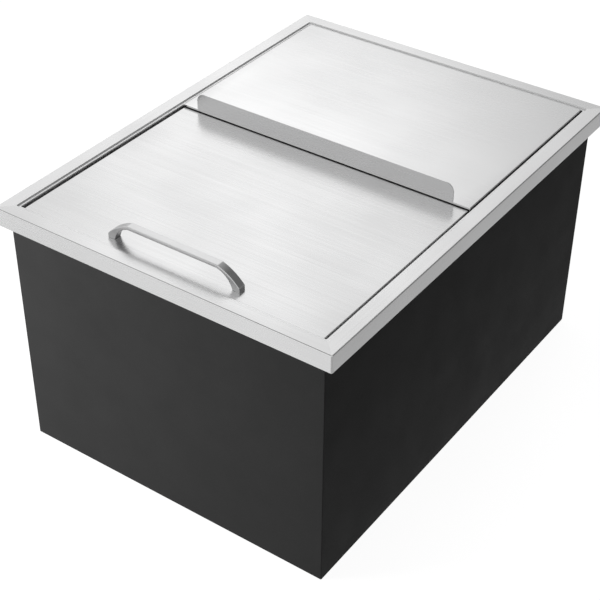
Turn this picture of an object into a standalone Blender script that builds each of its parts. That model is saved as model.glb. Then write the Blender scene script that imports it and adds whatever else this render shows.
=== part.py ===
"""Drop in ice bin: an insulated steel tub under a wide rim, with a sliding front and a lift-off rear lid.

The bin stands on the XY plane with its base centred on the origin. +X runs across the front, +Y runs
from the front to the rear and +Z is up. Every length is in metres.
"""

import math

import bmesh
import bpy
from mathutils import Matrix, Vector

# Whole bin
RIM_WIDTH = 0.457
RIM_LENGTH = 0.610
RIM_HEIGHT = 0.333
STEEL_SHEET = 0.0009
GAP = 0.0003
OVERRUN = 0.002
WELD = 0.00001

# Rim: skirt, flat top and the stepped wall round the opening
SKIRT_HEIGHT = 0.023
SKIRT_LIP = 0.008
RIM_FLAT = 0.018
STEP_DROP = 0.0017
LEDGE_WIDTH = 0.0035
WALL_DEPTH = 0.018
RIM_BEND = 0.0016
STEP_BEND = 0.0010
STEP_INNER_BEND = 0.0004
RIM_CORNER = 0.0024
LIP_CORNER = 0.0005

# Body
SIDE_OVERHANG = 0.0143
END_OVERHANG = 0.0098
CASING_SHEET = 0.0008
CASING_BEND = 0.0012
CASING_RETURN = 0.015
PAN_WALL = 0.015
PAN_HOLE_RADIUS = 0.028

# Rear panel rivets
RIVETS_PER_SIDE = 5
RIVET_EDGE = 0.0075
RIVET_END = 0.030
RIVET_HEAD_RADIUS = 0.0032
RIVET_HEAD_HEIGHT = 0.0011
RIVET_SHANK_RADIUS = 0.0016
RIVET_TAIL_RADIUS = 0.0024
RIVET_TAIL_LENGTH = 0.0012
RIVET_DOME_SHARE = 0.85

# Liner
SIDE_INSULATION = 0.0237
END_INSULATION = 0.0242
LINER_CORNER = 0.020
LINER_FLANGE_CORNER = 0.003
LINER_RIM_BEND = 0.002
LINER_FLOOR_BEND = 0.008
LINER_FLOOR = 0.036
FLOOR_FALL = 0.002
DRAIN_WELL_DEPTH = 0.004
DRAIN_WELL_RADIUS = 0.036
DRAIN_WELL_SLOPE = 0.0015

# Slide rails and glide strips
RAIL_SHEET = 0.0008
RAIL_BASE = 0.0145
RAIL_RISE = 0.008
RAIL_END_GAP = 0.002
GLIDE_SHEET = 0.0012
GLIDE_WIDTH = 0.0115

# Front lid
LID_SIDE_GAP = 0.0008
LID_DROP = 0.0034
LID_BEND = 0.0010
LID_CORNER = 0.0030
LID_OVERLAP = 0.012

# Handle on the front lid
HANDLE_LENGTH = 0.179
HANDLE_HEIGHT = 0.0235
HANDLE_WIDTH = 0.0104
HANDLE_FROM_FRONT = 0.0392
GRIP_THICKNESS = 0.004
GRIP_HALF = 0.061
GRIP_UNDERSIDE_HALF = 0.060
LEG_BOW = 0.0023
LEG_INNER_BOW = 0.0040
FOOT_THICKNESS = 0.0095
FOOT_HEIGHT = 0.0048
HANDLE_CHAMFER = 0.0010
SCREW_RADIUS = 0.002
SCREW_HEAD_RADIUS = 0.0036
SCREW_HEAD_HEIGHT = 0.0022
SCREW_IN_FOOT = 0.005
WASHER_RADIUS = 0.0045
WASHER_SHEET = 0.0008

# Rear lid and its upstand
REAR_LID_FRONT = 0.3085
REAR_LID_END_GAP = 0.0018
REAR_LID_BEND = 0.0010
REAR_LID_CORNER = 0.0030
UPSTAND_INSET = 0.02235
UPSTAND_HEIGHT = 0.023
UPSTAND_CORNER = 0.011
UPSTAND_BEND = 0.0005
RELIEF_SLOT = 0.0010
RELIEF_DEPTH = 0.0008

# Insulation
SLAB_GAP = 0.0008
REAR_SLAB_GAP = 0.0028

# Drain
TAIL_RADIUS = 0.0166
TAIL_FOOT = 0.004
DRAIN_FLANGE_RADIUS = 0.031
DRAIN_FLANGE_SHEET = 0.0016
DRAIN_EDGE = 0.0005
DRAIN_MOUTH_CHAMFER = 0.0014
DRAIN_CUP_RADIUS = 0.0136
DRAIN_BORE_RADIUS = 0.0110
DRAIN_CUP_DEPTH = 0.0155
GASKET_SHEET = 0.0010
GASKET_RADIUS = 0.030
FIBRE_SHEET = 0.0012
FIBRE_RADIUS = 0.025
NUT_ACROSS_FLATS = 0.046
NUT_HEIGHT = 0.008
POCKET_RADIUS = 0.030
STRAINER_SHEET = 0.0012
STRAINER_HOLE_RADIUS = 0.002
STRAINER_HOLE_CIRCLE = 0.0075
STRAINER_HOLES = 6
PLUG_TAPER = 0.0006
PLUG_HEIGHT = 0.0080
PLUG_NECK_RADIUS = 0.0032
PLUG_NECK_HEIGHT = 0.0022
PLUG_KNOB_RADIUS = 0.0062
PLUG_KNOB_HEIGHT = 0.0026

# Counts and angles
BEND_STEPS = 3
CORNER_STEPS = 6
ROUND_STEPS = 28
SMALL_STEPS = 20
ARC_STEPS = 10
SHARP_ANGLE = math.radians(35)
BEVEL_ANGLE = math.radians(30)
FLAT_ANGLE = math.radians(1)

# Heights and insets that follow from the sizes above
HALF_WIDTH = RIM_WIDTH / 2
HALF_LENGTH = RIM_LENGTH / 2
BODY_WIDTH = RIM_WIDTH - 2 * SIDE_OVERHANG
BODY_LENGTH = RIM_LENGTH - 2 * END_OVERHANG
LINER_WIDTH = BODY_WIDTH - 2 * SIDE_INSULATION
LINER_LENGTH = BODY_LENGTH - 2 * END_INSULATION
LEDGE_TOP = RIM_HEIGHT - STEP_DROP
WALL_INSET = RIM_FLAT + LEDGE_WIDTH
WALL_FOOT = RIM_HEIGHT - WALL_DEPTH
FLANGE_TOP = WALL_FOOT - GAP
FLANGE_UNDER = FLANGE_TOP - STEEL_SHEET
RAIL_FOOT = FLANGE_TOP + GAP
RAIL_SIDE = HALF_WIDTH - WALL_INSET - GAP
GLIDE_FOOT = RAIL_FOOT + RAIL_SHEET + GAP
LID_FOOT = GLIDE_FOOT + GLIDE_SHEET + GAP
LID_TOP = RIM_HEIGHT - LID_DROP
REAR_LID_SIDE = RAIL_SIDE - RAIL_SHEET - GAP
LID_SIDE = REAR_LID_SIDE - STEEL_SHEET - LID_SIDE_GAP
REAR_LID_END = HALF_LENGTH - WALL_INSET - REAR_LID_END_GAP
UPSTAND_WIDTH = 2 * (REAR_LID_SIDE - UPSTAND_INSET)
LID_FRONT = -HALF_LENGTH + WALL_INSET + GAP
LID_REAR = -HALF_LENGTH + REAR_LID_FRONT + LID_OVERLAP
CASING_HALF = BODY_WIDTH / 2
CASING_FRONT = -BODY_LENGTH / 2
CASING_REAR = BODY_LENGTH / 2
CASING_TOP = RIM_HEIGHT - STEEL_SHEET - GAP
RETURN_FACE = CASING_REAR - CASING_SHEET - GAP
WELL_FLOOR = LINER_FLOOR - FLOOR_FALL - DRAIN_WELL_DEPTH
WELL_UNDER = WELL_FLOOR - STEEL_SHEET
GASKET_FOOT = WELL_FLOOR + GAP
DRAIN_FLANGE_FOOT = GASKET_FOOT + GASKET_SHEET + GAP
DRAIN_TOP = DRAIN_FLANGE_FOOT + DRAIN_FLANGE_SHEET
DRAIN_SHOULDER = DRAIN_TOP - DRAIN_CUP_DEPTH
TAIL_HOLE_RADIUS = TAIL_RADIUS + 2 * GAP

PARTS = "drop_in_ice_bin"
CUTTERS = "cutters"


def clear_scene():
    for thing in list(bpy.data.objects):
        bpy.data.objects.remove(thing, do_unlink=True)
    for name in (PARTS, CUTTERS):
        group = bpy.data.collections.get(name) or bpy.data.collections.new(name)
        if name not in bpy.context.scene.collection.children:
            bpy.context.scene.collection.children.link(group)


def material(name, colour, metallic, roughness):
    """A plain Principled finish."""
    finish = bpy.data.materials.get(name) or bpy.data.materials.new(name)
    finish.use_nodes = True
    shader = finish.node_tree.nodes["Principled BSDF"]
    shader.inputs["Base Color"].default_value = (*colour, 1.0)
    shader.inputs["Metallic"].default_value = metallic
    shader.inputs["Roughness"].default_value = roughness
    return finish


def brushed_steel():
    return material("brushed_steel", (0.62, 0.62, 0.63), 1.0, 0.30)


def polished_steel():
    return material("polished_steel", (0.66, 0.66, 0.67), 1.0, 0.12)


def black_paint():
    return material("black_paint", (0.020, 0.020, 0.021), 0.0, 0.55)


def zinc_plate():
    return material("zinc_plate", (0.55, 0.56, 0.58), 1.0, 0.35)


def foam():
    return material("foam", (0.80, 0.78, 0.70), 0.0, 0.90)


def nylon():
    return material("nylon", (0.030, 0.030, 0.032), 0.0, 0.45)


def rubber():
    return material("rubber", (0.025, 0.025, 0.026), 0.0, 0.70)


def fibre():
    return material("fibre", (0.35, 0.08, 0.05), 0.0, 0.80)


def add(name, mesh, finish, location=(0, 0, 0), parent=None):
    """Put a mesh in the parts collection under its node name."""
    piece = bpy.data.objects.new(name, mesh)
    bpy.data.collections[PARTS].objects.link(piece)
    mesh.materials.clear()
    mesh.materials.append(finish)
    mesh.shade_smooth()
    mesh.set_sharp_from_angle(angle=SHARP_ANGLE)
    piece.location = location
    piece.parent = parent
    return piece


def add_cutter(name, mesh, location=(0, 0, 0)):
    cutter = bpy.data.objects.new(name, mesh)
    bpy.data.collections[CUTTERS].objects.link(cutter)
    cutter.location = location
    cutter.hide_render = True
    cutter.display_type = "WIRE"
    return cutter


def add_axis(name, location):
    """An empty on a joint's axis; the pieces that move there are its children."""
    axis = bpy.data.objects.new(name, None)
    bpy.data.collections[PARTS].objects.link(axis)
    axis.location = location
    return axis


def to_mesh(name, bm):
    mesh = bpy.data.meshes.new(name)
    bm.to_mesh(mesh)
    bm.free()
    return mesh


def cut(piece, cutter):
    boolean = piece.modifiers.new("cut", "BOOLEAN")
    boolean.operation = "DIFFERENCE"
    boolean.solver = "EXACT"
    boolean.object = cutter


def thicken(piece, thickness):
    """Give an open sheet its thickness, away from the side that its normals face."""
    solid = piece.modifiers.new("sheet", "SOLIDIFY")
    solid.thickness = thickness
    solid.offset = -1.0
    solid.use_even_offset = True


def bent(points, radii):
    """A 2D line with its inner corners rounded to the given radii."""
    line = [Vector(points[0])]
    for before, corner, after, radius in zip(points, points[1:], points[2:], radii):
        corner = Vector(corner)
        to_start = (Vector(before) - corner).normalized()
        to_end = (Vector(after) - corner).normalized()
        half = to_start.angle(to_end) / 2
        centre = corner + (to_start + to_end).normalized() * (radius / math.sin(half))
        start = corner + to_start * (radius / math.tan(half)) - centre
        end = corner + to_end * (radius / math.tan(half)) - centre
        sweep = start.angle_signed(end)
        for step in range(BEND_STEPS + 1):
            turn = Matrix.Rotation(-sweep * step / BEND_STEPS, 2)
            line.append(centre + turn @ start)
    line.append(Vector(points[-1]))
    return line


def corner_arc(centre, radius, first_angle, steps):
    """Points of a quarter turn, anticlockwise from the first angle."""
    return [Vector((centre[0] + radius * math.cos(first_angle + math.pi / 2 * step / steps),
                    centre[1] + radius * math.sin(first_angle + math.pi / 2 * step / steps)))
            for step in range(steps + 1)]


def rectangle_ring(half_x, front, rear, radius, z, steps=CORNER_STEPS):
    """A rounded rectangle at one height, anticlockwise from its front right corner."""
    inner = half_x - radius
    ring = corner_arc((inner, front + radius), radius, -math.pi / 2, steps)
    ring += corner_arc((inner, rear - radius), radius, 0.0, steps)
    ring += corner_arc((-inner, rear - radius), radius, math.pi / 2, steps)
    ring += corner_arc((-inner, front + radius), radius, math.pi, steps)
    return [Vector((point.x, point.y, z)) for point in ring]


def circle_ring(radius, z, steps=CORNER_STEPS):
    """A circle with as many points as a rounded rectangle, starting from the same corner."""
    count = 4 * (steps + 1)
    start = -math.pi / 2 + math.pi / count
    angles = [start + 2 * math.pi * index / count for index in range(count)]
    return [Vector((radius * math.cos(angle), radius * math.sin(angle), z)) for angle in angles]


def loft(rings, cap_first=False, closed=True):
    """A sheet through rings of equally many points; it faces up where the rings run outward."""
    bm = bmesh.new()
    rows = [[bm.verts.new(point) for point in ring] for ring in rings]
    count = len(rows[0])
    for row, following in zip(rows, rows[1:]):
        for index in range(count if closed else count - 1):
            after = (index + 1) % count
            bm.faces.new((row[index], following[index], following[after], row[after]))
    if cap_first:
        bm.faces.new(rows[0])
    return bm


def box_mesh(name, low, high):
    bm = bmesh.new()
    bmesh.ops.create_cube(bm, size=1.0)
    low = Vector(low)
    high = Vector(high)
    bmesh.ops.scale(bm, vec=high - low, verts=bm.verts)
    bmesh.ops.translate(bm, vec=(low + high) / 2, verts=bm.verts)
    return to_mesh(name, bm)


def cylinder_mesh(name, radius, low, high, steps=SMALL_STEPS, centres=((0, 0),)):
    """One or more upright cylinders between two heights."""
    bm = bmesh.new()
    for x, y in centres:
        place = Matrix.Translation((x, y, (low + high) / 2))
        bmesh.ops.create_cone(bm, cap_ends=True, segments=steps, radius1=radius, radius2=radius,
                              depth=high - low, matrix=place)
    return to_mesh(name, bm)


def turned_piece(name, profile, finish, hollow, steps=ROUND_STEPS, location=(0, 0, 0), parent=None):
    """A profile of radius and height, turned about Z; it runs down its outer side."""
    mesh = bpy.data.meshes.new(name)
    edges = [(index, index + 1) for index in range(len(profile) - 1)]
    if hollow:
        edges.append((len(profile) - 1, 0))
    mesh.from_pydata([(radius, 0, z) for radius, z in profile], edges, [])
    piece = add(name, mesh, finish, location, parent)
    screw = piece.modifiers.new("turn", "SCREW")
    screw.axis = "Z"
    screw.steps = steps
    screw.render_steps = steps
    screw.use_merge_vertices = True
    screw.merge_threshold = WELD
    screw.use_smooth_shade = True
    return piece


def prism_mesh(name, outline, thickness):
    """A flat outline, extruded by half the thickness to each side of its plane, with welded caps."""
    curve = bpy.data.curves.new(name, "CURVE")
    curve.dimensions = "2D"
    curve.fill_mode = "BOTH"
    curve.extrude = thickness / 2
    spline = curve.splines.new("POLY")
    spline.points.add(len(outline) - 1)
    for point, (x, y) in zip(spline.points, outline):
        point.co = (x, y, 0, 1)
    spline.use_cyclic_u = True
    holder = bpy.data.objects.new(name, curve)
    bpy.context.scene.collection.objects.link(holder)
    bpy.context.view_layer.update()
    evaluated = holder.evaluated_get(bpy.context.evaluated_depsgraph_get())
    mesh = bpy.data.meshes.new_from_object(evaluated)
    bpy.data.objects.remove(holder, do_unlink=True)
    bm = bmesh.new()
    bm.from_mesh(mesh)
    bmesh.ops.remove_doubles(bm, verts=bm.verts, dist=WELD)
    bmesh.ops.dissolve_limit(bm, angle_limit=FLAT_ANGLE, verts=bm.verts, edges=bm.edges)
    bmesh.ops.recalc_face_normals(bm, faces=bm.faces)
    bm.to_mesh(mesh)
    bm.free()
    return mesh


def rim_ring(inset, z, corner=RIM_CORNER):
    """A ring that keeps one inset from the rim's outer edge; its corners shrink with the inset."""
    radius = max(corner - inset, LIP_CORNER) if inset < RIM_FLAT else LIP_CORNER + STEEL_SHEET
    return rectangle_ring(HALF_WIDTH - inset, -HALF_LENGTH + inset, HALF_LENGTH - inset, radius, z)


def make_top_frame():
    """The rim, folded from one sheet: inner wall, ledge, step, flat top, skirt and its lip."""
    corners = [(WALL_INSET, WALL_FOOT), (WALL_INSET, LEDGE_TOP), (RIM_FLAT, LEDGE_TOP),
               (RIM_FLAT, RIM_HEIGHT), (0, RIM_HEIGHT), (0, RIM_HEIGHT - SKIRT_HEIGHT),
               (SKIRT_LIP, RIM_HEIGHT - SKIRT_HEIGHT)]
    radii = [STEP_BEND, STEP_INNER_BEND, STEP_BEND, RIM_BEND, RIM_BEND]
    rings = [rim_ring(inset, z) for inset, z in bent(corners, radii)]
    piece = add("top_frame", to_mesh("top_frame", loft(rings)), brushed_steel())
    thicken(piece, STEEL_SHEET)


def make_inner_liner():
    """The tub that holds the ice: flange, walls, a floor that falls to the drain well."""
    half_x = LINER_WIDTH / 2
    half_y = LINER_LENGTH / 2
    flange_half_x = CASING_HALF - CASING_SHEET - GAP
    flange_front = CASING_FRONT + CASING_SHEET + GAP
    flange_rear = RETURN_FACE - CASING_SHEET - GAP
    rings = [circle_ring(TAIL_HOLE_RADIUS, WELL_FLOOR),
             circle_ring(DRAIN_WELL_RADIUS - DRAIN_WELL_SLOPE, WELL_FLOOR),
             circle_ring(DRAIN_WELL_RADIUS, WELL_FLOOR + DRAIN_WELL_DEPTH)]
    wall = bent([(LINER_FLOOR_BEND * 2, LINER_FLOOR), (0, LINER_FLOOR), (0, FLANGE_TOP),
                 (-LINER_RIM_BEND * 2, FLANGE_TOP)], [LINER_FLOOR_BEND, LINER_RIM_BEND])
    for inset, z in wall[1:-1]:
        radius = LINER_CORNER - inset
        rings.append(rectangle_ring(half_x - inset, inset - half_y, half_y - inset, radius, z))
    rings.append(rectangle_ring(flange_half_x, flange_front, flange_rear, LINER_FLANGE_CORNER, FLANGE_TOP))
    piece = add("inner_liner", to_mesh("inner_liner", loft(rings)), brushed_steel())
    thicken(piece, STEEL_SHEET)


def make_casing_wrap():
    """The black front and sides in one sheet, with a return flange behind each side."""
    path = [(CASING_HALF - CASING_RETURN, RETURN_FACE), (CASING_HALF, RETURN_FACE),
            (CASING_HALF, CASING_FRONT), (-CASING_HALF, CASING_FRONT), (-CASING_HALF, RETURN_FACE),
            (-CASING_HALF + CASING_RETURN, RETURN_FACE)]
    line = list(reversed(bent(path, [CASING_BEND] * 4)))
    rings = [[Vector((x, y, z)) for x, y in line] for z in (CASING_TOP, 0.0)]
    piece = add("casing_wrap", to_mesh("casing_wrap", loft(rings, closed=False)), black_paint())
    thicken(piece, CASING_SHEET)
    return piece


def make_rear_panel():
    low = (-CASING_HALF, CASING_REAR - CASING_SHEET, 0)
    high = (CASING_HALF, CASING_REAR, CASING_TOP)
    return add("rear_panel", box_mesh("rear_panel", low, high), black_paint())


def make_bottom_pan():
    """The tray that closes the bottom; its wall stands inside the casing."""
    half_x = CASING_HALF - CASING_SHEET - GAP
    front = CASING_FRONT + CASING_SHEET + GAP
    rear = RETURN_FACE - CASING_SHEET - GAP
    wall = bent([(0, PAN_WALL), (0, 0), (2 * CASING_BEND, 0)], [CASING_BEND])
    rings = []
    for inset, z in wall[:-1]:
        radius = 2 * CASING_BEND - inset
        rings.append(rectangle_ring(half_x - inset, front + inset, rear - inset, radius, z))
    rings.append(circle_ring(PAN_HOLE_RADIUS, 0.0))
    piece = add("bottom_pan", to_mesh("bottom_pan", loft(rings)), black_paint())
    thicken(piece, CASING_SHEET)


def rivet_places():
    """The centre of each rear rivet, as X and Z."""
    spacing = (CASING_TOP - 2 * RIVET_END) / (RIVETS_PER_SIDE - 1)
    return [(side * (CASING_HALF - RIVET_EDGE), RIVET_END + row * spacing)
            for side in (-1, 1) for row in range(RIVETS_PER_SIDE)]


def make_rear_rivets(panel, wrap):
    """Blind rivets that hold the rear panel to the casing's return flanges."""
    grip = 2 * CASING_SHEET + GAP
    hole = RIVET_SHANK_RADIUS + GAP
    profile = [(0, RIVET_HEAD_HEIGHT), (RIVET_HEAD_RADIUS / 2, RIVET_HEAD_HEIGHT * RIVET_DOME_SHARE),
               (RIVET_HEAD_RADIUS, GAP), (RIVET_SHANK_RADIUS, GAP), (RIVET_SHANK_RADIUS, -grip - GAP),
               (RIVET_TAIL_RADIUS, -grip - GAP), (RIVET_SHANK_RADIUS, -grip - RIVET_TAIL_LENGTH),
               (0, -grip - RIVET_TAIL_LENGTH)]
    bm = bmesh.new()
    for x, z in rivet_places():
        place = Matrix.Translation((x, CASING_REAR - grip / 2, z)) @ Matrix.Rotation(math.pi / 2, 4, "X")
        bmesh.ops.create_cone(bm, cap_ends=True, segments=SMALL_STEPS, radius1=hole, radius2=hole,
                              depth=grip + 2 * OVERRUN, matrix=place)
    holes = add_cutter("rivet_holes", to_mesh("rivet_holes", bm))
    cut(panel, holes)
    cut(wrap, holes)
    for number, (x, z) in enumerate(rivet_places(), start=1):
        rivet = turned_piece(f"rear_rivet_{number}", profile, zinc_plate(), False, SMALL_STEPS,
                             (x, CASING_REAR, z))
        rivet.rotation_euler = (-math.pi / 2, 0, 0)


def make_insulation():
    """Five foam slabs between the liner and the casing; the bottom one has the drain's pocket."""
    foot = CASING_SHEET + GAP
    top = FLANGE_UNDER - SLAB_GAP
    pan_wall = 2 * CASING_SHEET + GAP
    side_out = CASING_HALF - pan_wall - SLAB_GAP
    side_in = LINER_WIDTH / 2 + STEEL_SHEET + GAP
    front_out = CASING_FRONT + pan_wall + SLAB_GAP
    rear_out = RETURN_FACE - CASING_SHEET - REAR_SLAB_GAP
    end_in = LINER_LENGTH / 2 + STEEL_SHEET + GAP
    slabs = {
        "front_insulation": ((-side_out, front_out, foot), (side_out, -end_in, top)),
        "rear_insulation": ((-side_out, end_in, foot), (side_out, rear_out, top)),
        "left_insulation": ((-side_out, -end_in + GAP, foot), (-side_in, end_in - GAP, top)),
        "right_insulation": ((side_in, -end_in + GAP, foot), (side_out, end_in - GAP, top)),
        "bottom_insulation": ((-side_in + GAP, -end_in + GAP, foot), (side_in - GAP, end_in - GAP,
                              WELL_UNDER - GAP)),
    }
    for name, (low, high) in slabs.items():
        slab = add(name, box_mesh(name, low, high), foam())
        if name == "bottom_insulation":
            pocket = cylinder_mesh("drain_pocket", POCKET_RADIUS, foot - OVERRUN, WELL_UNDER + OVERRUN,
                                   ROUND_STEPS)
            cut(slab, add_cutter("drain_pocket", pocket))


def make_rails():
    """An angle on the liner's flange at each side, with the glide strip that the lids' edges stand on."""
    length = RIM_LENGTH - 2 * (WALL_INSET + RAIL_END_GAP)
    outline = [(RAIL_SIDE, 0), (RAIL_SIDE, RAIL_RISE), (RAIL_SIDE - RAIL_SHEET, RAIL_RISE),
               (RAIL_SIDE - RAIL_SHEET, RAIL_SHEET), (RAIL_SIDE - RAIL_BASE, RAIL_SHEET),
               (RAIL_SIDE - RAIL_BASE, 0)]
    strip_side = RAIL_SIDE - RAIL_SHEET - GAP
    for side, label in ((-1, "left"), (1, "right")):
        mesh = prism_mesh(f"{label}_slide_rail", [(side * x, z) for x, z in outline], length)
        rail = add(f"{label}_slide_rail", mesh, brushed_steel(), (0, 0, RAIL_FOOT))
        rail.rotation_euler = (math.pi / 2, 0, 0)
        ends = sorted((side * strip_side, side * (strip_side - GLIDE_WIDTH)))
        strip = box_mesh(f"{label}_glide_strip", (ends[0], -length / 2, GLIDE_FOOT),
                         (ends[1], length / 2, GLIDE_FOOT + GLIDE_SHEET))
        add(f"{label}_glide_strip", strip, nylon())


def screw_places():
    """The two screw centres, midway through the handle's feet, from the handle's middle."""
    reach = (HANDLE_LENGTH - FOOT_THICKNESS) / 2
    return [(-reach, "left"), (reach, "right")]


def make_front_lid(axis):
    """A flat lid with its edges folded down, and the screw holes for the handle."""
    half_y = (LID_REAR - LID_FRONT) / 2
    fold = bent([(2 * LID_BEND, 0), (0, 0), (0, LID_FOOT - LID_TOP)], [LID_BEND])
    rings = [rectangle_ring(LID_SIDE - inset, inset - half_y, half_y - inset,
                            LID_CORNER - min(inset, LID_BEND), z)
             for inset, z in fold[1:]]
    lid = add("front_lid", to_mesh("front_lid", loft(rings, cap_first=True)), brushed_steel(), parent=axis)
    thicken(lid, STEEL_SHEET)
    handle_y = -HALF_LENGTH + HANDLE_FROM_FRONT
    holes = cylinder_mesh("handle_holes", SCREW_RADIUS + GAP, LID_TOP - STEEL_SHEET - OVERRUN,
                          LID_TOP + OVERRUN, SMALL_STEPS, [(x, handle_y) for x, _ in screw_places()])
    cut(lid, add_cutter("handle_holes", holes))


def bowed(start, end, bow):
    """A gentle arc between two points, which stands out from the straight line by the bow."""
    start, end = Vector(start), Vector(end)
    along = (end - start).normalized()
    out = Vector((-along.y, along.x))
    half_chord = (end - start).length / 2
    radius = (half_chord ** 2 + bow ** 2) / (2 * bow)
    centre = (start + end) / 2 - (radius - bow) * out
    sweep = math.asin(half_chord / radius)
    points = []
    for step in range(ARC_STEPS + 1):
        angle = sweep * (2 * step / ARC_STEPS - 1)
        points.append(centre + radius * (math.cos(angle) * out + math.sin(angle) * along))
    return [(point.x, point.y) for point in points]


def handle_outline():
    """Side view of the handle: a straight grip whose ends slope down in a bow to upright feet."""
    half = HANDLE_LENGTH / 2
    outer = bowed((GRIP_HALF, HANDLE_HEIGHT), (half, FOOT_HEIGHT), LEG_BOW) + [(half, 0)]
    inner = bowed((GRIP_UNDERSIDE_HALF, HANDLE_HEIGHT - GRIP_THICKNESS), (half - FOOT_THICKNESS, 0),
                  LEG_INNER_BOW)
    loop = outer + list(reversed(inner))
    return loop + [(-x, z) for x, z in reversed(loop)]


def make_handle(axis):
    """The pull handle, with its screws and washers from under the lid."""
    handle_y = -HALF_LENGTH + HANDLE_FROM_FRONT
    to_axis = Vector((0, handle_y, LID_TOP)) - axis.location
    handle = add("lid_handle", prism_mesh("lid_handle", handle_outline(), HANDLE_WIDTH), polished_steel(),
                 to_axis + Vector((0, 0, GAP)), axis)
    handle.rotation_euler = (math.pi / 2, 0, 0)
    bevel = handle.modifiers.new("chamfer", "BEVEL")
    bevel.limit_method = "ANGLE"
    bevel.angle_limit = BEVEL_ANGLE
    bevel.width = HANDLE_CHAMFER
    bevel.segments = 2
    depth = SCREW_IN_FOOT + GAP
    holes = cylinder_mesh("foot_holes", SCREW_RADIUS + GAP, LID_TOP - OVERRUN, LID_TOP + depth, SMALL_STEPS,
                          [(x, handle_y) for x, _ in screw_places()])
    cut(handle, add_cutter("foot_holes", holes))
    washer_top = -STEEL_SHEET - GAP
    head_top = washer_top - WASHER_SHEET - GAP
    washer = [(WASHER_RADIUS, washer_top), (WASHER_RADIUS, washer_top - WASHER_SHEET),
              (SCREW_RADIUS + GAP, washer_top - WASHER_SHEET), (SCREW_RADIUS + GAP, washer_top)]
    screw = [(0, SCREW_IN_FOOT), (SCREW_RADIUS, SCREW_IN_FOOT), (SCREW_RADIUS, head_top),
             (SCREW_HEAD_RADIUS, head_top), (SCREW_HEAD_RADIUS, head_top - SCREW_HEAD_HEIGHT / 2),
             (SCREW_HEAD_RADIUS / 2, head_top - SCREW_HEAD_HEIGHT), (0, head_top - SCREW_HEAD_HEIGHT)]
    for x, label in screw_places():
        place = to_axis + Vector((x, 0, 0))
        turned_piece(f"handle_washer_{label}", washer, zinc_plate(), True, SMALL_STEPS, place, axis)
        turned_piece(f"handle_screw_{label}", screw, zinc_plate(), False, SMALL_STEPS, place, axis)


def make_rear_lid(axis):
    """A flush panel with its rear edge folded down round both corners, and an upstand along its front."""
    front = -HALF_LENGTH + REAR_LID_FRONT
    corner_y = REAR_LID_END - REAR_LID_CORNER
    corner_x = REAR_LID_SIDE - REAR_LID_CORNER
    fold = bent([(2 * REAR_LID_BEND, RIM_HEIGHT), (0, RIM_HEIGHT), (0, LID_FOOT)], [REAR_LID_BEND])
    rings = []
    for inset, z in fold[1:]:
        radius = REAR_LID_CORNER - inset
        line = corner_arc((corner_x, corner_y), radius, 0.0, CORNER_STEPS)
        line += corner_arc((-corner_x, corner_y), radius, math.pi / 2, CORNER_STEPS)
        rings.append([Vector((point.x, point.y, z)) for point in line])
    bm = loft(rings, closed=False)
    bm.verts.ensure_lookup_table()
    edge = bm.verts[:len(rings[0])]

    half = UPSTAND_WIDTH / 2
    bend_y = front + STEEL_SHEET + UPSTAND_BEND
    notch_y = bend_y + RELIEF_DEPTH
    outer = half + RELIEF_SLOT
    notch = [(-outer, front), (-outer, notch_y), (-half, notch_y), (-half, bend_y),
             (half, bend_y), (half, notch_y), (outer, notch_y), (outer, front)]
    sides = [(-REAR_LID_SIDE, corner_y), (-REAR_LID_SIDE, front)]
    outline = sides + notch + [(-x, y) for x, y in reversed(sides)]
    outline = [bm.verts.new((x, y, RIM_HEIGHT)) for x, y in outline]
    bm.faces.new(list(edge) + outline)

    row = [outline[5], outline[6]]
    for turn in range(1, BEND_STEPS + 1):
        angle = math.pi / 2 * turn / BEND_STEPS
        y = bend_y - UPSTAND_BEND * math.sin(angle)
        z = RIM_HEIGHT + UPSTAND_BEND * (1 - math.cos(angle))
        following = [bm.verts.new((-half, y, z)), bm.verts.new((half, y, z))]
        bm.faces.new((row[1], row[0], following[0], following[1]))
        row = following
    top = RIM_HEIGHT + UPSTAND_HEIGHT
    reach = half - UPSTAND_CORNER
    crest = corner_arc((reach, top - UPSTAND_CORNER), UPSTAND_CORNER, 0.0, CORNER_STEPS)
    crest += corner_arc((-reach, top - UPSTAND_CORNER), UPSTAND_CORNER, math.pi / 2, CORNER_STEPS)
    crest = [bm.verts.new((x, row[0].co.y, z)) for x, z in crest]
    bm.faces.new([row[1], row[0]] + list(reversed(crest)))
    bmesh.ops.translate(bm, vec=-axis.location, verts=bm.verts)
    lid = add("rear_lid", to_mesh("rear_lid", bm), brushed_steel(), parent=axis)
    thicken(lid, STEEL_SHEET)


def make_rear_lid_flanges(axis):
    """A strip on edge under each side of the rear lid; both stand on the glide strips."""
    front = -HALF_LENGTH + REAR_LID_FRONT
    rear = REAR_LID_END - REAR_LID_CORNER - GAP
    for side, label in ((-1, "left"), (1, "right")):
        ends = sorted((side * REAR_LID_SIDE, side * (REAR_LID_SIDE - STEEL_SHEET)))
        low = Vector((ends[0], front, LID_FOOT)) - axis.location
        high = Vector((ends[1], rear, RIM_HEIGHT - STEEL_SHEET - GAP)) - axis.location
        name = f"rear_lid_{label}_flange"
        add(name, box_mesh(name, low, high), brushed_steel(), parent=axis)


def ring_profile(outer, inner, low, high):
    return [(outer, high), (outer, low), (inner, low), (inner, high)]


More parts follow.
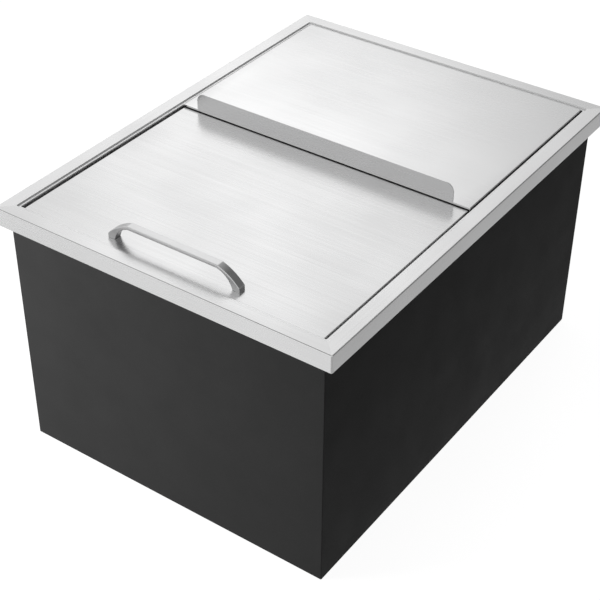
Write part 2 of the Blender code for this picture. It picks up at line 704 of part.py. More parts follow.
def make_drain(axis):
    """The drain through the floor: flanged body, seals, locknut, strainer and lift-out plug."""
    body = [(DRAIN_FLANGE_RADIUS - DRAIN_EDGE, DRAIN_TOP), (DRAIN_FLANGE_RADIUS, DRAIN_TOP - DRAIN_EDGE),
            (DRAIN_FLANGE_RADIUS, DRAIN_FLANGE_FOOT), (TAIL_RADIUS, DRAIN_FLANGE_FOOT),
            (TAIL_RADIUS, TAIL_FOOT), (DRAIN_BORE_RADIUS, TAIL_FOOT), (DRAIN_BORE_RADIUS, DRAIN_SHOULDER),
            (DRAIN_CUP_RADIUS, DRAIN_SHOULDER), (DRAIN_CUP_RADIUS, DRAIN_TOP - DRAIN_MOUTH_CHAMFER),
            (DRAIN_CUP_RADIUS + DRAIN_MOUTH_CHAMFER, DRAIN_TOP)]
    turned_piece("drain_body", body, polished_steel(), True)
    inner = TAIL_RADIUS + GAP
    gasket = ring_profile(GASKET_RADIUS, inner, GASKET_FOOT, GASKET_FOOT + GASKET_SHEET)
    turned_piece("drain_gasket", gasket, rubber(), True)
    fibre_top = WELL_UNDER - GAP
    washer = ring_profile(FIBRE_RADIUS, inner, fibre_top - FIBRE_SHEET, fibre_top)
    turned_piece("drain_washer", washer, fibre(), True)

    nut_top = fibre_top - FIBRE_SHEET - GAP
    corner = NUT_ACROSS_FLATS / 2 / math.cos(math.pi / 6)
    hexagon = [(corner * math.cos(math.pi / 3 * side), corner * math.sin(math.pi / 3 * side))
               for side in range(6)]
    nut = add("drain_locknut", prism_mesh("drain_locknut", hexagon, NUT_HEIGHT), zinc_plate(),
              (0, 0, nut_top - NUT_HEIGHT / 2))
    bore = cylinder_mesh("nut_bore", inner, nut_top - NUT_HEIGHT - OVERRUN, nut_top + OVERRUN, ROUND_STEPS)
    cut(nut, add_cutter("nut_bore", bore))

    strainer_foot = DRAIN_SHOULDER + GAP
    strainer_top = strainer_foot + STRAINER_SHEET
    disc = cylinder_mesh("drain_strainer", DRAIN_CUP_RADIUS - GAP, strainer_foot, strainer_top, ROUND_STEPS)
    strainer = add("drain_strainer", disc, polished_steel())
    centres = [(0, 0)] + [(STRAINER_HOLE_CIRCLE * math.cos(2 * math.pi * hole / STRAINER_HOLES),
                           STRAINER_HOLE_CIRCLE * math.sin(2 * math.pi * hole / STRAINER_HOLES))
                          for hole in range(STRAINER_HOLES)]
    holes = cylinder_mesh("strainer_holes", STRAINER_HOLE_RADIUS, strainer_foot - OVERRUN,
                          strainer_top + OVERRUN, SMALL_STEPS, centres)
    cut(strainer, add_cutter("strainer_holes", holes))

    top_radius = DRAIN_CUP_RADIUS - GAP
    foot = strainer_top + GAP - axis.location.z
    neck = foot + PLUG_HEIGHT
    knob = neck + PLUG_NECK_HEIGHT
    crown = knob + PLUG_KNOB_HEIGHT
    plug = [(0, crown), (PLUG_KNOB_RADIUS / 2, crown), (PLUG_KNOB_RADIUS, crown - PLUG_KNOB_HEIGHT / 2),
            (PLUG_KNOB_RADIUS - PLUG_TAPER, knob), (PLUG_NECK_RADIUS, knob), (PLUG_NECK_RADIUS, neck),
            (top_radius, neck), (top_radius - PLUG_TAPER, foot), (0, foot)]
    turned_piece("drain_plug", plug, rubber(), False, parent=axis)


def main():
    clear_scene()
    make_top_frame()
    make_inner_liner()
    wrap = make_casing_wrap()
    panel = make_rear_panel()
    make_bottom_pan()
    make_rear_rivets(panel, wrap)
    make_insulation()
    make_rails()
    lid_axis = add_axis("front_lid_slide", (0, (LID_FRONT + LID_REAR) / 2, LID_TOP))
    make_front_lid(lid_axis)
    make_handle(lid_axis)
    cover_axis = add_axis("rear_lid_lift", (0, (LID_REAR + HALF_LENGTH) / 2, RIM_HEIGHT))
    make_rear_lid(cover_axis)
    make_rear_lid_flanges(cover_axis)
    make_drain(add_axis("drain_plug_lift", (0, 0, DRAIN_SHOULDER)))


main()
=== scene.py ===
"""Drop in ice bin: finished pieces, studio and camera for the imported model.

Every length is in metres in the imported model's frame: +X to the right, +Y to the rear, +Z up. The places of
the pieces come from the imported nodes, and their details from the settings in the sidebar panel.
"""

import math
from itertools import product

import bmesh
import bpy
from bpy.props import FloatProperty, FloatVectorProperty, PointerProperty
from mathutils import Matrix, Vector


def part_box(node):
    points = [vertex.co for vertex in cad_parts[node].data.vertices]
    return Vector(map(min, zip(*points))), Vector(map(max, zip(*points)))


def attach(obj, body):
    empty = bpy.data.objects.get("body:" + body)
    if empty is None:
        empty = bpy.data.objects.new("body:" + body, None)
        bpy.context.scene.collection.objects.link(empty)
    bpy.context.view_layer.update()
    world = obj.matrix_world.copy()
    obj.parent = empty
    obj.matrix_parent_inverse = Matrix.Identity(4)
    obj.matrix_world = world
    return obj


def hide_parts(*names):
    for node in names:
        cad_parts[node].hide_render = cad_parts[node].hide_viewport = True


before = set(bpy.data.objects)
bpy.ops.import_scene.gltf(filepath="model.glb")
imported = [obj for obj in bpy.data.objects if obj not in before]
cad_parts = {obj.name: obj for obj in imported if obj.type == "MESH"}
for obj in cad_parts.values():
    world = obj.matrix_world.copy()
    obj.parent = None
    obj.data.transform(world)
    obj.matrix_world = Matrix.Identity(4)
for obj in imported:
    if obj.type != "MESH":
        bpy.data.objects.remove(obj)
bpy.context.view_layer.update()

bl_info = {
    "name": "Drop in ice bin",
    "version": (1, 0, 0),
    "blender": (4, 5, 0),
    "location": "View3D > Sidebar > Ice bin",
    "description": "Makes the finished pieces of a drop in ice bin and the studio round it",
    "category": "Object",
}

BEND_STEPS = 8
SMALL_BEND_STEPS = 5
CORNER_STEPS = 9
ROUND_STEPS = 64
SMALL_STEPS = 32
ARC_STEPS = 28
DOME_STEPS = 8
HANDLE_STEPS = 4
STRIP_STEPS = 3
EDGE_STEPS = 2
HEXAGON = 6
SHARP_ANGLE = math.radians(30)
EDGE_ANGLE = math.radians(60)
CLEARANCE = 0.0003
FOOT_SINK = 0.00022
WELD = 0.00001
# How far a cutter stands out past what it cuts
MARGIN = 0.003
TIGHT_CORNER = 0.0005
RIVET_HOLE = 0.0019
FOAM_STEP = 0.02
FOAM_WAVER = 0.0004
FOAM_WAVES = (1.9, 1.3)

BIN = "bin"
SLIDING_LID = "sliding_lid"
REAR_COVER = "rear_cover"
STOPPER = "stopper"

# Numbers of the Mix node's sockets where it blends colours
MIX_FACTOR, MIX_FIRST, MIX_SECOND, MIX_RESULT = 0, 6, 7, 2
EVENLY = (1.0, 1.0, 1.0)
WHITE = (1.0, 1.0, 1.0, 1.0)
BRUSH_STRETCH = 0.007
WEAR_SCALE = 0.06
# Roughness, scale of the skin, depth of the skin and its stretch along X, Y and Z
NYLON_SKIN = (0.42, 900.0, 0.00005, (1.0, 0.02, 1.0))
RUBBER_SKIN = (0.66, 1300.0, 0.00008)
FIBRE_SKIN = (0.78, 1600.0, 0.0001, (1.0, 1.0, 4.0))

# Patches of the room: the way to the middle, and the cosines where the patch starts and is full
REAR_DARK = ((0.66, 0.74, 0.20), 0.38, 0.75)
ZENITH_DARK = ((-0.40, -0.05, 0.92), 0.84, 0.97)
BLACK_FLAG = ((0.44, 0.66, 0.61), 0.82, 0.95)
SOFTBOX = ((-0.522, 0.668, 0.530), 0.975, 0.9994)
FRONT_PANEL = ((-0.46, -0.88, 0.05), 0.85, 0.985)
# Where the floor starts to look darker in metal, and where it is darkest, along X
RIGHT_FLOOR = (0.15, 0.55)
LEFT_FLOOR = (-0.05, -0.55)
FLOOR_REACH = 20.0
FLOOR_DROP = 0.0005
# Size, place and target of each lamp
KEY_LAMP = (0.5, (-0.75, -0.95, 0.42), (-0.15, -0.2, 0.26))
TOP_LAMP = (1.4, (-0.3, 0.2, 2.6), (0.0, 0.0, 0.2))
FILL_LAMP = (1.2, (-0.2, 2.4, 0.9), (0.0, 0.0, 0.2))
# The lens is in millimetres, and the ways are those of the picture's right, down and depth
LENS_LENGTH = 86.04
SENSOR_WIDTH = 36.0
CAMERA_CLIP = (0.05, 100.0)
CAMERA_PLACE = (0.8243, -1.2116, 1.2065)
CAMERA_RIGHT = Vector((0.81709, 0.57648, 0.00521))
CAMERA_DOWN = Vector((0.34709, -0.4847, -0.80287))
CAMERA_FORWARD = Vector((-0.46031, 0.65783, -0.59614))


def length(name, description, default):
    return FloatProperty(name=name, description=description, default=default, min=0.0, precision=5,
                         unit="LENGTH")


def share(name, description, default):
    return FloatProperty(name=name, description=description, default=default, min=0.0, max=1.0,
                         subtype="FACTOR")


def strength(name, description, default):
    return FloatProperty(name=name, description=description, default=default, min=0.0)


def colour(name, description, default):
    return FloatVectorProperty(name=name, description=description, default=default, min=0.0, max=1.0,
                               size=3, subtype="COLOR")


class IceBinSizes(bpy.types.PropertyGroup):
    """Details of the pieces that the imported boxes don't give"""

    steel_sheet: length("Steel sheet", "Thickness of the rim, the lids and the tub", 0.0009)
    rim_flat: length("Rim flat", "Width of the rim's flat top, out to its edge", 0.018)
    rim_bend: length("Rim bend", "Radius of the bends along the rim's outer edge", 0.0016)
    rim_corner: length("Rim corner", "Radius of the skirt's upright corners", 0.0024)
    step_drop: length("Step drop", "Drop from the rim's top to its ledge", 0.0017)
    step_bend: length("Step bend", "Radius of the bends at the step and the opening", 0.0010)
    step_root: length("Step root", "Radius where the step meets the ledge", 0.0004)
    ledge_width: length("Ledge width", "Width of the ledge round the opening", 0.0035)
    opening_corner: length("Opening corner", "Radius of the opening's corners", 0.0014)
    wall_depth: length("Wall depth", "Depth of the wall round the opening", 0.018)
    skirt_lip: length("Skirt lip", "Width of the lip folded in under the skirt", 0.008)
    lid_bend: length("Lid bend", "Radius of the bends round both lids", 0.0010)
    lid_corner: length("Lid corner", "Radius of both lids' corners", 0.0030)
    upstand_corner: length("Upstand corner", "Radius of the upstand's top corners", 0.011)
    upstand_width: length("Upstand width", "Width of the upstand", 0.3665)
    upstand_drop: length("Upstand drop", "Depth of the upstand's plate below the lid's top", 0.0020)
    upstand_arris: length("Upstand arris", "Width of the upstand's eased edges", 0.00015)
    grip_sheet: length("Grip thickness", "Thickness of the handle's grip", 0.004)
    grip_half: length("Grip half", "Half of the handle's straight top", 0.061)
    grip_inside_half: length("Grip inside half", "Half of the straight run under the grip", 0.060)
    leg_bow: length("Leg bow", "How far the legs' outer side stands out from a straight line", 0.0023)
    leg_inner_bow: length("Leg inner bow", "How far the legs' inner side stands out", 0.0040)
    foot_height: length("Foot height", "Height of the upright part of the feet", 0.0048)
    foot_thickness: length("Foot thickness", "Thickness of the handle's feet", 0.0095)
    handle_arris: length("Handle arris", "Width of the handle's rounded arrises", 0.0010)
    casing_sheet: length("Casing sheet", "Thickness of the black casing", 0.0008)
    casing_bend: length("Casing bend", "Radius of the casing's upright corners", 0.0012)
    casing_return: length("Casing return", "Width of the flanges behind the casing's sides", 0.015)
    drain_hole: length("Drain hole", "Radius of the hole in the bottom pan", 0.028)
    tub_width: length("Tub width", "Width inside the tub", 0.381)
    tub_length: length("Tub length", "Length inside the tub, front to rear", 0.542)
    tub_corner: length("Tub corner", "Radius of the tub's upright corners", 0.020)
    tub_floor: length("Tub floor", "Height of the tub's floor at its walls", 0.036)
    tub_floor_bend: length("Tub floor bend", "Radius between the tub's walls and floor", 0.008)
    tub_rim_bend: length("Tub rim bend", "Radius between the tub's walls and flange", 0.002)
    well_radius: length("Well radius", "Radius of the drain's well", 0.036)
    well_depth: length("Well depth", "Depth of the drain's well", 0.004)
    rail_sheet: length("Rail sheet", "Thickness of the slide rails", 0.0008)
    rail_bend: length("Rail bend", "Radius of the bend along the slide rails", 0.0012)
    strip_arris: length("Strip arris", "Width of the glide strips' rounded edges", 0.0003)
    panel_arris: length("Panel arris", "Width of the rear panel's rounded edges", 0.0002)
    bolt_hole: length("Bolt hole", "Radius of the holes for the handle's screws", 0.0023)
    bolt_depth: length("Bolt depth", "Depth of the screws' holes in the handle", 0.0051)
    foam_arris: length("Foam arris", "Width of the foam slabs' rounded edges", 0.0012)
    foam_hole: length("Foam hole", "Radius of the hole in the foam under the tub", 0.030)


class IceBinFinishes(bpy.types.PropertyGroup):
    """Colours and roughness of the finishes"""

    steel: colour("Brushed steel", "Colour of the rim and the lids", (0.70, 0.70, 0.702))
    steel_roughness: share("Brushed roughness", "Roughness of the rim and the lids", 0.27)
    steel_grain: share("Brushed grain", "How far the brushing draws the highlights out", 0.55)
    # Painted light: the rim's left and right sides are a lighter copy of the rim's steel (0.84 against 0.70),
    # so that they read brighter than their reflections make them
    side_steel_painted_lighter: colour("Side steel painted lighter", "Colour of the rim's left and right sides", (0.84, 0.84, 0.8424))
    side_roughness: share("Side roughness", "Roughness of the rim's left and right sides", 0.38)
    side_grain: share("Side grain", "How far the brushing draws the sides' highlights out", 0.10)
    polished: colour("Polished steel", "Colour of the handle and the drain", (0.66, 0.66, 0.663))
    polished_roughness: share("Polished roughness", "Roughness of the handle and the drain", 0.30)
    tub: colour("Tub steel", "Colour of the tub and the rails", (0.84, 0.84, 0.844))
    tub_roughness: share("Tub roughness", "Roughness of the tub and the rails", 0.44)
    coating: colour("Black coating", "Colour of the casing", (0.030, 0.030, 0.030))
    coating_roughness: share("Coating roughness", "Roughness of the casing", 0.62)
    zinc: colour("Zinc", "Colour of the rivets, screws and nut", (0.58, 0.59, 0.61))
    foam: colour("Foam", "Colour of the insulation", (0.78, 0.74, 0.62))
    nylon: colour("Nylon", "Colour of the glide strips", (0.030, 0.030, 0.032))
    rubber: colour("Rubber", "Colour of the plug and the seal", (0.024, 0.024, 0.025))
    fibre: colour("Fibre", "Colour of the drain's fibre washer", (0.33, 0.085, 0.055))
    floor: colour("Floor", "Colour of the studio floor", (0.14, 0.14, 0.14))


class IceBinStudio(bpy.types.PropertyGroup):
    """Light in the studio"""

    sky: strength("Sky", "Strength of the room's light on dull surfaces", 0.38)
    walls: strength("Walls", "Strength of the room's walls, as metal sees them", 0.84)
    softbox: strength("Softbox", "How much brighter metal sees the panel behind on the left", 0.73)
    front_panel: strength("Front panel", "How much brighter metal sees the low panel in front", 0.45)
    key: strength("Key lamp", "Power of the low lamp in front on the left, in watts", 17.5)
    fill: strength("Fill lamp", "Power of the lamp behind, in watts", 14.0)
    top: strength("Top lamp", "Power of the lamp above, in watts", 22.0)
    rear_shade: share("Rear shade", "How dark the room is to the right and rear", 0.66)
    zenith_shade: share("Zenith shade", "How dark the room is overhead", 0.60)
    flag_shade: share("Flag shade", "How dark the black flag behind on the right is", 0.45)
    floor_glow: strength("Floor glow", "How far the camera sees the floor lifted to white", 0.94)
    floor_gleam: strength("Floor gleam", "How far metal sees the floor lifted to white", 0.81)
    left_shade: share("Left floor shade", "How dark metal sees the floor to the left", 0.36)
    right_shade: share("Right floor shade", "How dark metal sees the floor to the right", 0.62)


# Node helpers

def fill_inputs(tree, node, values):
    """Link the sockets among the values to the node's inputs, and set the other inputs."""
    for key, value in values.items():
        if isinstance(value, bpy.types.NodeSocket):
            tree.links.new(value, node.inputs[key])
        else:
            node.inputs[key].default_value = value


def add_node(tree, kind, values=None, **settings):
    node = tree.nodes.new(kind)
    for key, value in settings.items():
        setattr(node, key, value)
    fill_inputs(tree, node, values or {})
    return node


def place_on_piece(tree, stretch=EVENLY):
    """The point on the piece in metres, stretched for a grain."""
    point = add_node(tree, "ShaderNodeTexCoord").outputs["Object"]
    return add_node(tree, "ShaderNodeMapping", {"Vector": point, "Scale": stretch}).outputs["Vector"]


def noise(tree, scale, detail=2.0, roughness=0.5, stretch=EVENLY):
    values = {"Vector": place_on_piece(tree, stretch), "Scale": scale, "Detail": detail,
              "Roughness": roughness}
    return add_node(tree, "ShaderNodeTexNoise", values).outputs["Fac"]


def cells(tree, scale, feature="F1"):
    values = {"Vector": place_on_piece(tree), "Scale": scale}
    return add_node(tree, "ShaderNodeTexVoronoi", values, feature=feature).outputs["Distance"]


def spread(tree, value, low, high, start=0.3, end=0.7):
    """A noise value, brought from its usual range to between two numbers."""
    values = {"Value": value, "From Min": start, "From Max": end, "To Min": low, "To Max": high}
    return add_node(tree, "ShaderNodeMapRange", values, clamp=True).outputs["Result"]


def calculate(tree, operation, first, second):
    return add_node(tree, "ShaderNodeMath", {0: first, 1: second}, operation=operation).outputs["Value"]


def blend_colours(tree, factor, first, second):
    values = {MIX_FACTOR: factor, MIX_FIRST: first, MIX_SECOND: second}
    return add_node(tree, "ShaderNodeMix", values, data_type="RGBA").outputs[MIX_RESULT]


def toned(base, factor):
    return tuple(min(part * factor, 1.0) for part in base) + (1.0,)


def shaded(tree, base, value, dark, light):
    """The base colour, from a darker to a lighter tone of it as a noise value rises."""
    return blend_colours(tree, spread(tree, value, 0.0, 1.0), toned(base, dark), toned(base, light))


def uneven(tree, level, *marks):
    """A level, changed by noise values, each between its own least and most."""
    for value, least, most in marks:
        level = calculate(tree, "ADD", level, spread(tree, value, least, most))
    return level


def rubbed(tree, tone, rough, bright, amount, smoother):
    """Tone and roughness, with the bends rubbed bright and smooth; rub is 1 in the middle of a bend."""
    rub = add_node(tree, "ShaderNodeAttribute", attribute_name="rub").outputs["Fac"]
    tone = blend_colours(tree, calculate(tree, "MULTIPLY", rub, amount), tone, bright)
    return tone, calculate(tree, "SUBTRACT", rough, calculate(tree, "MULTIPLY", rub, smoother))


def relief(tree, height, amount, depth, under=None):
    values = {"Height": height, "Strength": amount, "Distance": depth}
    if under:
        values["Normal"] = under
    return add_node(tree, "ShaderNodeBump", values).outputs["Normal"]


def new_finish(name):
    finish = bpy.data.materials.new(name)
    finish.use_nodes = True
    tree = finish.node_tree
    return finish, tree, tree.nodes["Principled BSDF"]


# Finishes

def brushed_steel(tree, base, roughness, grain, along):
    """Steel brushed along one axis, with fine streaks, soft clouds and rubbed bends."""
    stretch = tuple(BRUSH_STRETCH if axis == along else 1.0 for axis in "XYZ")
    across = {axis: 0.0 if axis == along else 1.0 for axis in "XYZ"}
    streak = noise(tree, scale=900.0, detail=3.0, roughness=0.6, stretch=stretch)
    hair = noise(tree, scale=4200.0, stretch=stretch)
    cloud = noise(tree, scale=7.0)
    tone = shaded(tree, base, streak, dark=0.985, light=1.012)
    tone = blend_colours(tree, spread(tree, cloud, low=0.0, high=0.35), tone, toned(base, 0.93))
    rough = uneven(tree, roughness, (streak, -0.03, 0.03), (cloud, -0.02, 0.03))
    tone, rough = rubbed(tree, tone, rough, toned(base, 1.06), amount=0.6, smoother=0.05)
    flow = relief(tree, cloud, amount=0.15, depth=0.0008)
    bump = relief(tree, hair, amount=0.04, depth=0.00004, under=flow)
    tangent = add_node(tree, "ShaderNodeCombineXYZ", across).outputs["Vector"]
    return {"Base Color": tone, "Metallic": 1.0, "Roughness": rough, "Anisotropic": grain,
            "Tangent": tangent, "Normal": bump}


def polished_steel(tree, base, roughness):
    """Bright steel with a faint haze and fine wipe marks."""
    haze = noise(tree, scale=60.0, detail=3.0)
    wipe = noise(tree, scale=2600.0, stretch=(0.05, 1.0, 1.0))
    return {"Base Color": shaded(tree, base, haze, dark=0.95, light=1.03), "Metallic": 1.0,
            "Roughness": uneven(tree, roughness, (haze, -0.02, 0.04), (wipe, -0.02, 0.02)),
            "Normal": relief(tree, wipe, amount=0.05, depth=0.00002)}


def tub_steel(tree, base, roughness):
    """Mill finish steel: a dull sheen with drawing marks and water spots."""
    cloud = noise(tree, scale=14.0, detail=3.0)
    drawn = noise(tree, scale=1100.0, stretch=(1.0, 1.0, 0.03))
    spots = spread(tree, cells(tree, scale=55.0, feature="SMOOTH_F1"), low=0.25, high=0.0, start=0.0,
                   end=0.35)
    tone = shaded(tree, base, cloud, dark=0.92, light=1.04)
    return {"Base Color": blend_colours(tree, spots, tone, toned(base, 1.12)), "Metallic": 1.0,
            "Roughness": uneven(tree, roughness, (cloud, -0.04, 0.05), (drawn, -0.03, 0.03)),
            "Normal": relief(tree, drawn, amount=0.12, depth=0.00004)}


def black_coating(tree, base, roughness):
    """Baked black coating with a fine pebbled skin, thinner and smoother over the bends."""
    pebble = noise(tree, scale=1500.0)
    patch = noise(tree, scale=22.0, detail=4.0, roughness=0.6)
    tone = shaded(tree, base, patch, dark=0.88, light=1.12)
    tone = blend_colours(tree, spread(tree, pebble, low=0.0, high=0.5), tone, toned(base, 0.7))
    rough = uneven(tree, roughness, (patch, -0.04, 0.04), (pebble, -0.05, 0.05))
    tone, rough = rubbed(tree, tone, rough, toned(base, 1.7), amount=0.5, smoother=0.08)
    return {"Base Color": tone, "Roughness": rough, "Specular IOR Level": 0.07,
            "Normal": relief(tree, pebble, amount=0.35, depth=0.0001)}


def zinc_plate(tree, base):
    """Bright zinc plate with a patchy bloom."""
    bloom = noise(tree, scale=500.0, detail=3.0)
    return {"Base Color": shaded(tree, base, bloom, dark=0.84, light=1.12), "Metallic": 1.0,
            "Roughness": spread(tree, bloom, low=0.28, high=0.46),
            "Normal": relief(tree, bloom, amount=0.1, depth=0.00003)}


def foam_board(tree, base):
    """Rigid foam with small closed cells and a mottled skin."""
    cell = cells(tree, scale=850.0)
    mottle = noise(tree, scale=30.0, detail=4.0)
    tone = shaded(tree, base, mottle, dark=0.88, light=1.08)
    walls = spread(tree, cell, low=0.0, high=0.3, start=0.2, end=0.8)
    return {"Base Color": blend_colours(tree, walls, tone, toned(base, 0.7)),
            "Roughness": spread(tree, mottle, low=0.82, high=0.94),
            "Normal": relief(tree, cell, amount=0.6, depth=0.0003)}


def moulded(tree, base, roughness, scale, depth, stretch=EVENLY):
    """A moulded or pressed plastic, rubber or fibre with a fine skin and broad wear."""
    skin = noise(tree, scale, detail=3.0, roughness=0.6, stretch=stretch)
    wear = noise(tree, scale * WEAR_SCALE, detail=3.0)
    return {"Base Color": shaded(tree, base, wear, dark=0.8, light=1.3),
            "Roughness": uneven(tree, roughness, (wear, -0.05, 0.08), (skin, -0.04, 0.04)),
            "Normal": relief(tree, skin, amount=0.4, depth=depth)}


def finish_for(context, name):
    """The finish of that name, made the first time that a piece asks for it."""
    looks = context.scene.ice_bin_finishes
    ways = {
        "brushed across": (brushed_steel, looks.steel, looks.steel_roughness, looks.steel_grain, "X"),
        # Painted light: the rim's sides use the same brushed steel, made lighter
        "brushed lengthwise painted lighter": (brushed_steel, looks.side_steel_painted_lighter, looks.side_roughness, looks.side_grain, "Y"),
        "polished steel": (polished_steel, looks.polished, looks.polished_roughness),
        "tub steel": (tub_steel, looks.tub, looks.tub_roughness),
        "black coating": (black_coating, looks.coating, looks.coating_roughness),
        "zinc plate": (zinc_plate, looks.zinc),
        "foam board": (foam_board, looks.foam),
        "nylon strip": (moulded, looks.nylon, *NYLON_SKIN),
        "rubber": (moulded, looks.rubber, *RUBBER_SKIN),
        "pressed fibre": (moulded, looks.fibre, *FIBRE_SKIN),
    }
    finish = bpy.data.materials.get(name)
    if finish is None:
        finish, tree, shader = new_finish(name)
        make, *details = ways[name]
        fill_inputs(tree, shader, make(tree, *details))
    return finish


# Shape helpers

def filleted(points, radii, steps=BEND_STEPS):
    """A 2D line with rounded corners, as (x, y, rub): rub is 1 in the middle of each bend."""
    line = [(*points[0], 0.0)]
    for before, corner, after, radius in zip(points, points[1:], points[2:], radii):
        corner = Vector(corner)
        to_start = (Vector(before) - corner).normalized()
        to_end = (Vector(after) - corner).normalized()
        half = to_start.angle(to_end) / 2
        centre = corner + (to_start + to_end).normalized() * (radius / math.sin(half))
        start = corner + to_start * (radius / math.tan(half)) - centre
        end = corner + to_end * (radius / math.tan(half)) - centre
        sweep = start.angle_signed(end)
        for step in range(steps + 1):
            turned = centre + Matrix.Rotation(-sweep * step / steps, 2) @ start
            line.append((turned.x, turned.y, math.sin(math.pi * step / steps)))
    line.append((*points[-1], 0.0))
    return line


def quarter_arc(centre, radius, first_angle, steps=CORNER_STEPS):
    angles = [first_angle + math.pi / 2 * step / steps for step in range(steps + 1)]
    return [(centre[0] + radius * math.cos(angle), centre[1] + radius * math.sin(angle))
            for angle in angles]


def rectangle_ring(half_x, front, rear, radius, z, rub=0.0):
    """A rounded rectangle at one height, anticlockwise from its front right corner."""
    inner = half_x - radius
    ring = quarter_arc((inner, front + radius), radius, -math.pi / 2)
    ring += quarter_arc((inner, rear - radius), radius, 0.0)
    ring += quarter_arc((-inner, rear - radius), radius, math.pi / 2)
    ring += quarter_arc((-inner, front + radius), radius, math.pi)
    return [(x, y, z, rub) for x, y in ring]


def circle_ring(radius, z):
    """A circle with as many points as a rounded rectangle, from the same corner."""
    count = 4 * (CORNER_STEPS + 1)
    angles = [-math.pi / 2 + math.pi * (2 * index + 1) / count for index in range(count)]
    return [(radius * math.cos(angle), radius * math.sin(angle), z, 0.0) for angle in angles]


def to_mesh(name, bm):
    mesh = bpy.data.meshes.new(name)
    bm.to_mesh(mesh)
    bm.free()
    return mesh


def worked(mesh, kind, **settings):
    """The mesh after one modifier."""
    holder = bpy.data.objects.new("bench", mesh)
    bpy.context.scene.collection.objects.link(holder)
    modifier = holder.modifiers.new("work", kind)
    for key, value in settings.items():
        setattr(modifier, key, value)
    graph = bpy.context.evaluated_depsgraph_get()
    done = bpy.data.meshes.new_from_object(holder.evaluated_get(graph), preserve_all_data_layers=True,
                                           depsgraph=graph)
    bpy.data.objects.remove(holder, do_unlink=True)
    bpy.data.meshes.remove(mesh)
    return done


def folded_sheet(name, rings, thickness, closed=True, cap_first=False):
    """A sheet through rings of equally many points, which faces up where the rings run outward.

    Its thickness lies on the other side, and each point keeps its rub.
    """
    bm = bmesh.new()
    layer = bm.verts.layers.float.new("rub")
    rows = []
    for ring in rings:
        row = [bm.verts.new(point[:3]) for point in ring]
        for vertex, point in zip(row, ring):
            vertex[layer] = point[3]
        rows.append(row)
    count = len(rows[0])
    for row, following in zip(rows, rows[1:]):
        for index in range(count if closed else count - 1):
            after = (index + 1) % count
            bm.faces.new((row[index], following[index], following[after], row[after]))
    if cap_first:
        bm.faces.new(rows[0])
    return worked(to_mesh(name, bm), "SOLIDIFY", thickness=thickness, offset=-1.0, use_even_offset=True)


def cut_with(mesh, cutter_mesh, operation="DIFFERENCE"):
    cutter = bpy.data.objects.new("cutter", cutter_mesh)
    bpy.context.scene.collection.objects.link(cutter)
    done = worked(mesh, "BOOLEAN", operation=operation, solver="EXACT", object=cutter)
    bpy.data.objects.remove(cutter, do_unlink=True)
    bpy.data.meshes.remove(cutter_mesh)
    return done


def rods(radius, low, high, centres, steps=SMALL_STEPS):
    """Upright rods between two heights, to cut holes with."""
    bm = bmesh.new()
    for x, y in centres:
        bmesh.ops.create_cone(bm, cap_ends=True, segments=steps, radius1=radius, radius2=radius,
                              depth=high - low, matrix=Matrix.Translation((x, y, (low + high) / 2)))
    return to_mesh("rods", bm)


def turned(name, profile, steps=ROUND_STEPS, hollow=False):
    """A profile turned about Z, from points that begin with radius and height, down its outer side."""
    bm = bmesh.new()
    angles = [2 * math.pi * index / steps for index in range(steps)]
    rows = []
    for radius, z in (point[:2] for point in profile):
        if radius < WELD:
            rows.append([bm.verts.new((0, 0, z))])
        else:
            rows.append([bm.verts.new((radius * math.cos(angle), radius * math.sin(angle), z))
                         for angle in angles])
    if hollow:
        rows.append(rows[0])
    for row, following in zip(rows, rows[1:]):
        for index in range(steps):
            after = (index + 1) % steps
            corners = [row[index % len(row)], following[index % len(following)],
                       following[after % len(following)], row[after % len(row)]]
            corners = [corner for place, corner in enumerate(corners) if corner not in corners[:place]]
            if len(corners) > 2:
                bm.faces.new(corners)
    return to_mesh(name, bm)


def put(context, name, mesh, finishes, body, nodes, place=None):
    """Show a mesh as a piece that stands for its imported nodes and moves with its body."""
    for finish in finishes:
        mesh.materials.append(finish_for(context, finish))
    mesh.shade_smooth()
    mesh.set_sharp_from_angle(angle=SHARP_ANGLE)
    piece = bpy.data.objects.new(name, mesh)
    context.scene.collection.objects.link(piece)
    if place:
        piece.matrix_world = place
    even = piece.modifiers.new("even shading", "WEIGHTED_NORMAL")
    even.keep_sharp = True
    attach(piece, body)
    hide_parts(*nodes)
    return piece


def middle(low, high):
    return (low + high) / 2


def eased_block(name, low, high, arris, steps):
    """A block between two corners with rounded edges."""
    bm = bmesh.new()
    bmesh.ops.create_cube(bm, size=1.0)
    bmesh.ops.scale(bm, vec=high - low, verts=bm.verts)
    bmesh.ops.translate(bm, vec=middle(low, high), verts=bm.verts)
    return worked(to_mesh(name, bm), "BEVEL", width=arris, segments=steps)


def upright_plate(name, outline, front, rear):
    """A plate between two places along Y, from its outline, anticlockwise as seen from the front."""
    bm = bmesh.new()
    rows = [[bm.verts.new((x, y, z)) for x, z in outline] for y in (front, rear)]
    bm.faces.new(rows[0])
    bm.faces.new(list(reversed(rows[1])))
    for index in range(len(outline)):
        after = (index + 1) % len(outline)
        bm.faces.new((rows[0][after], rows[0][index], rows[1][index], rows[1][after]))
    return to_mesh(name, bm)


# Pieces

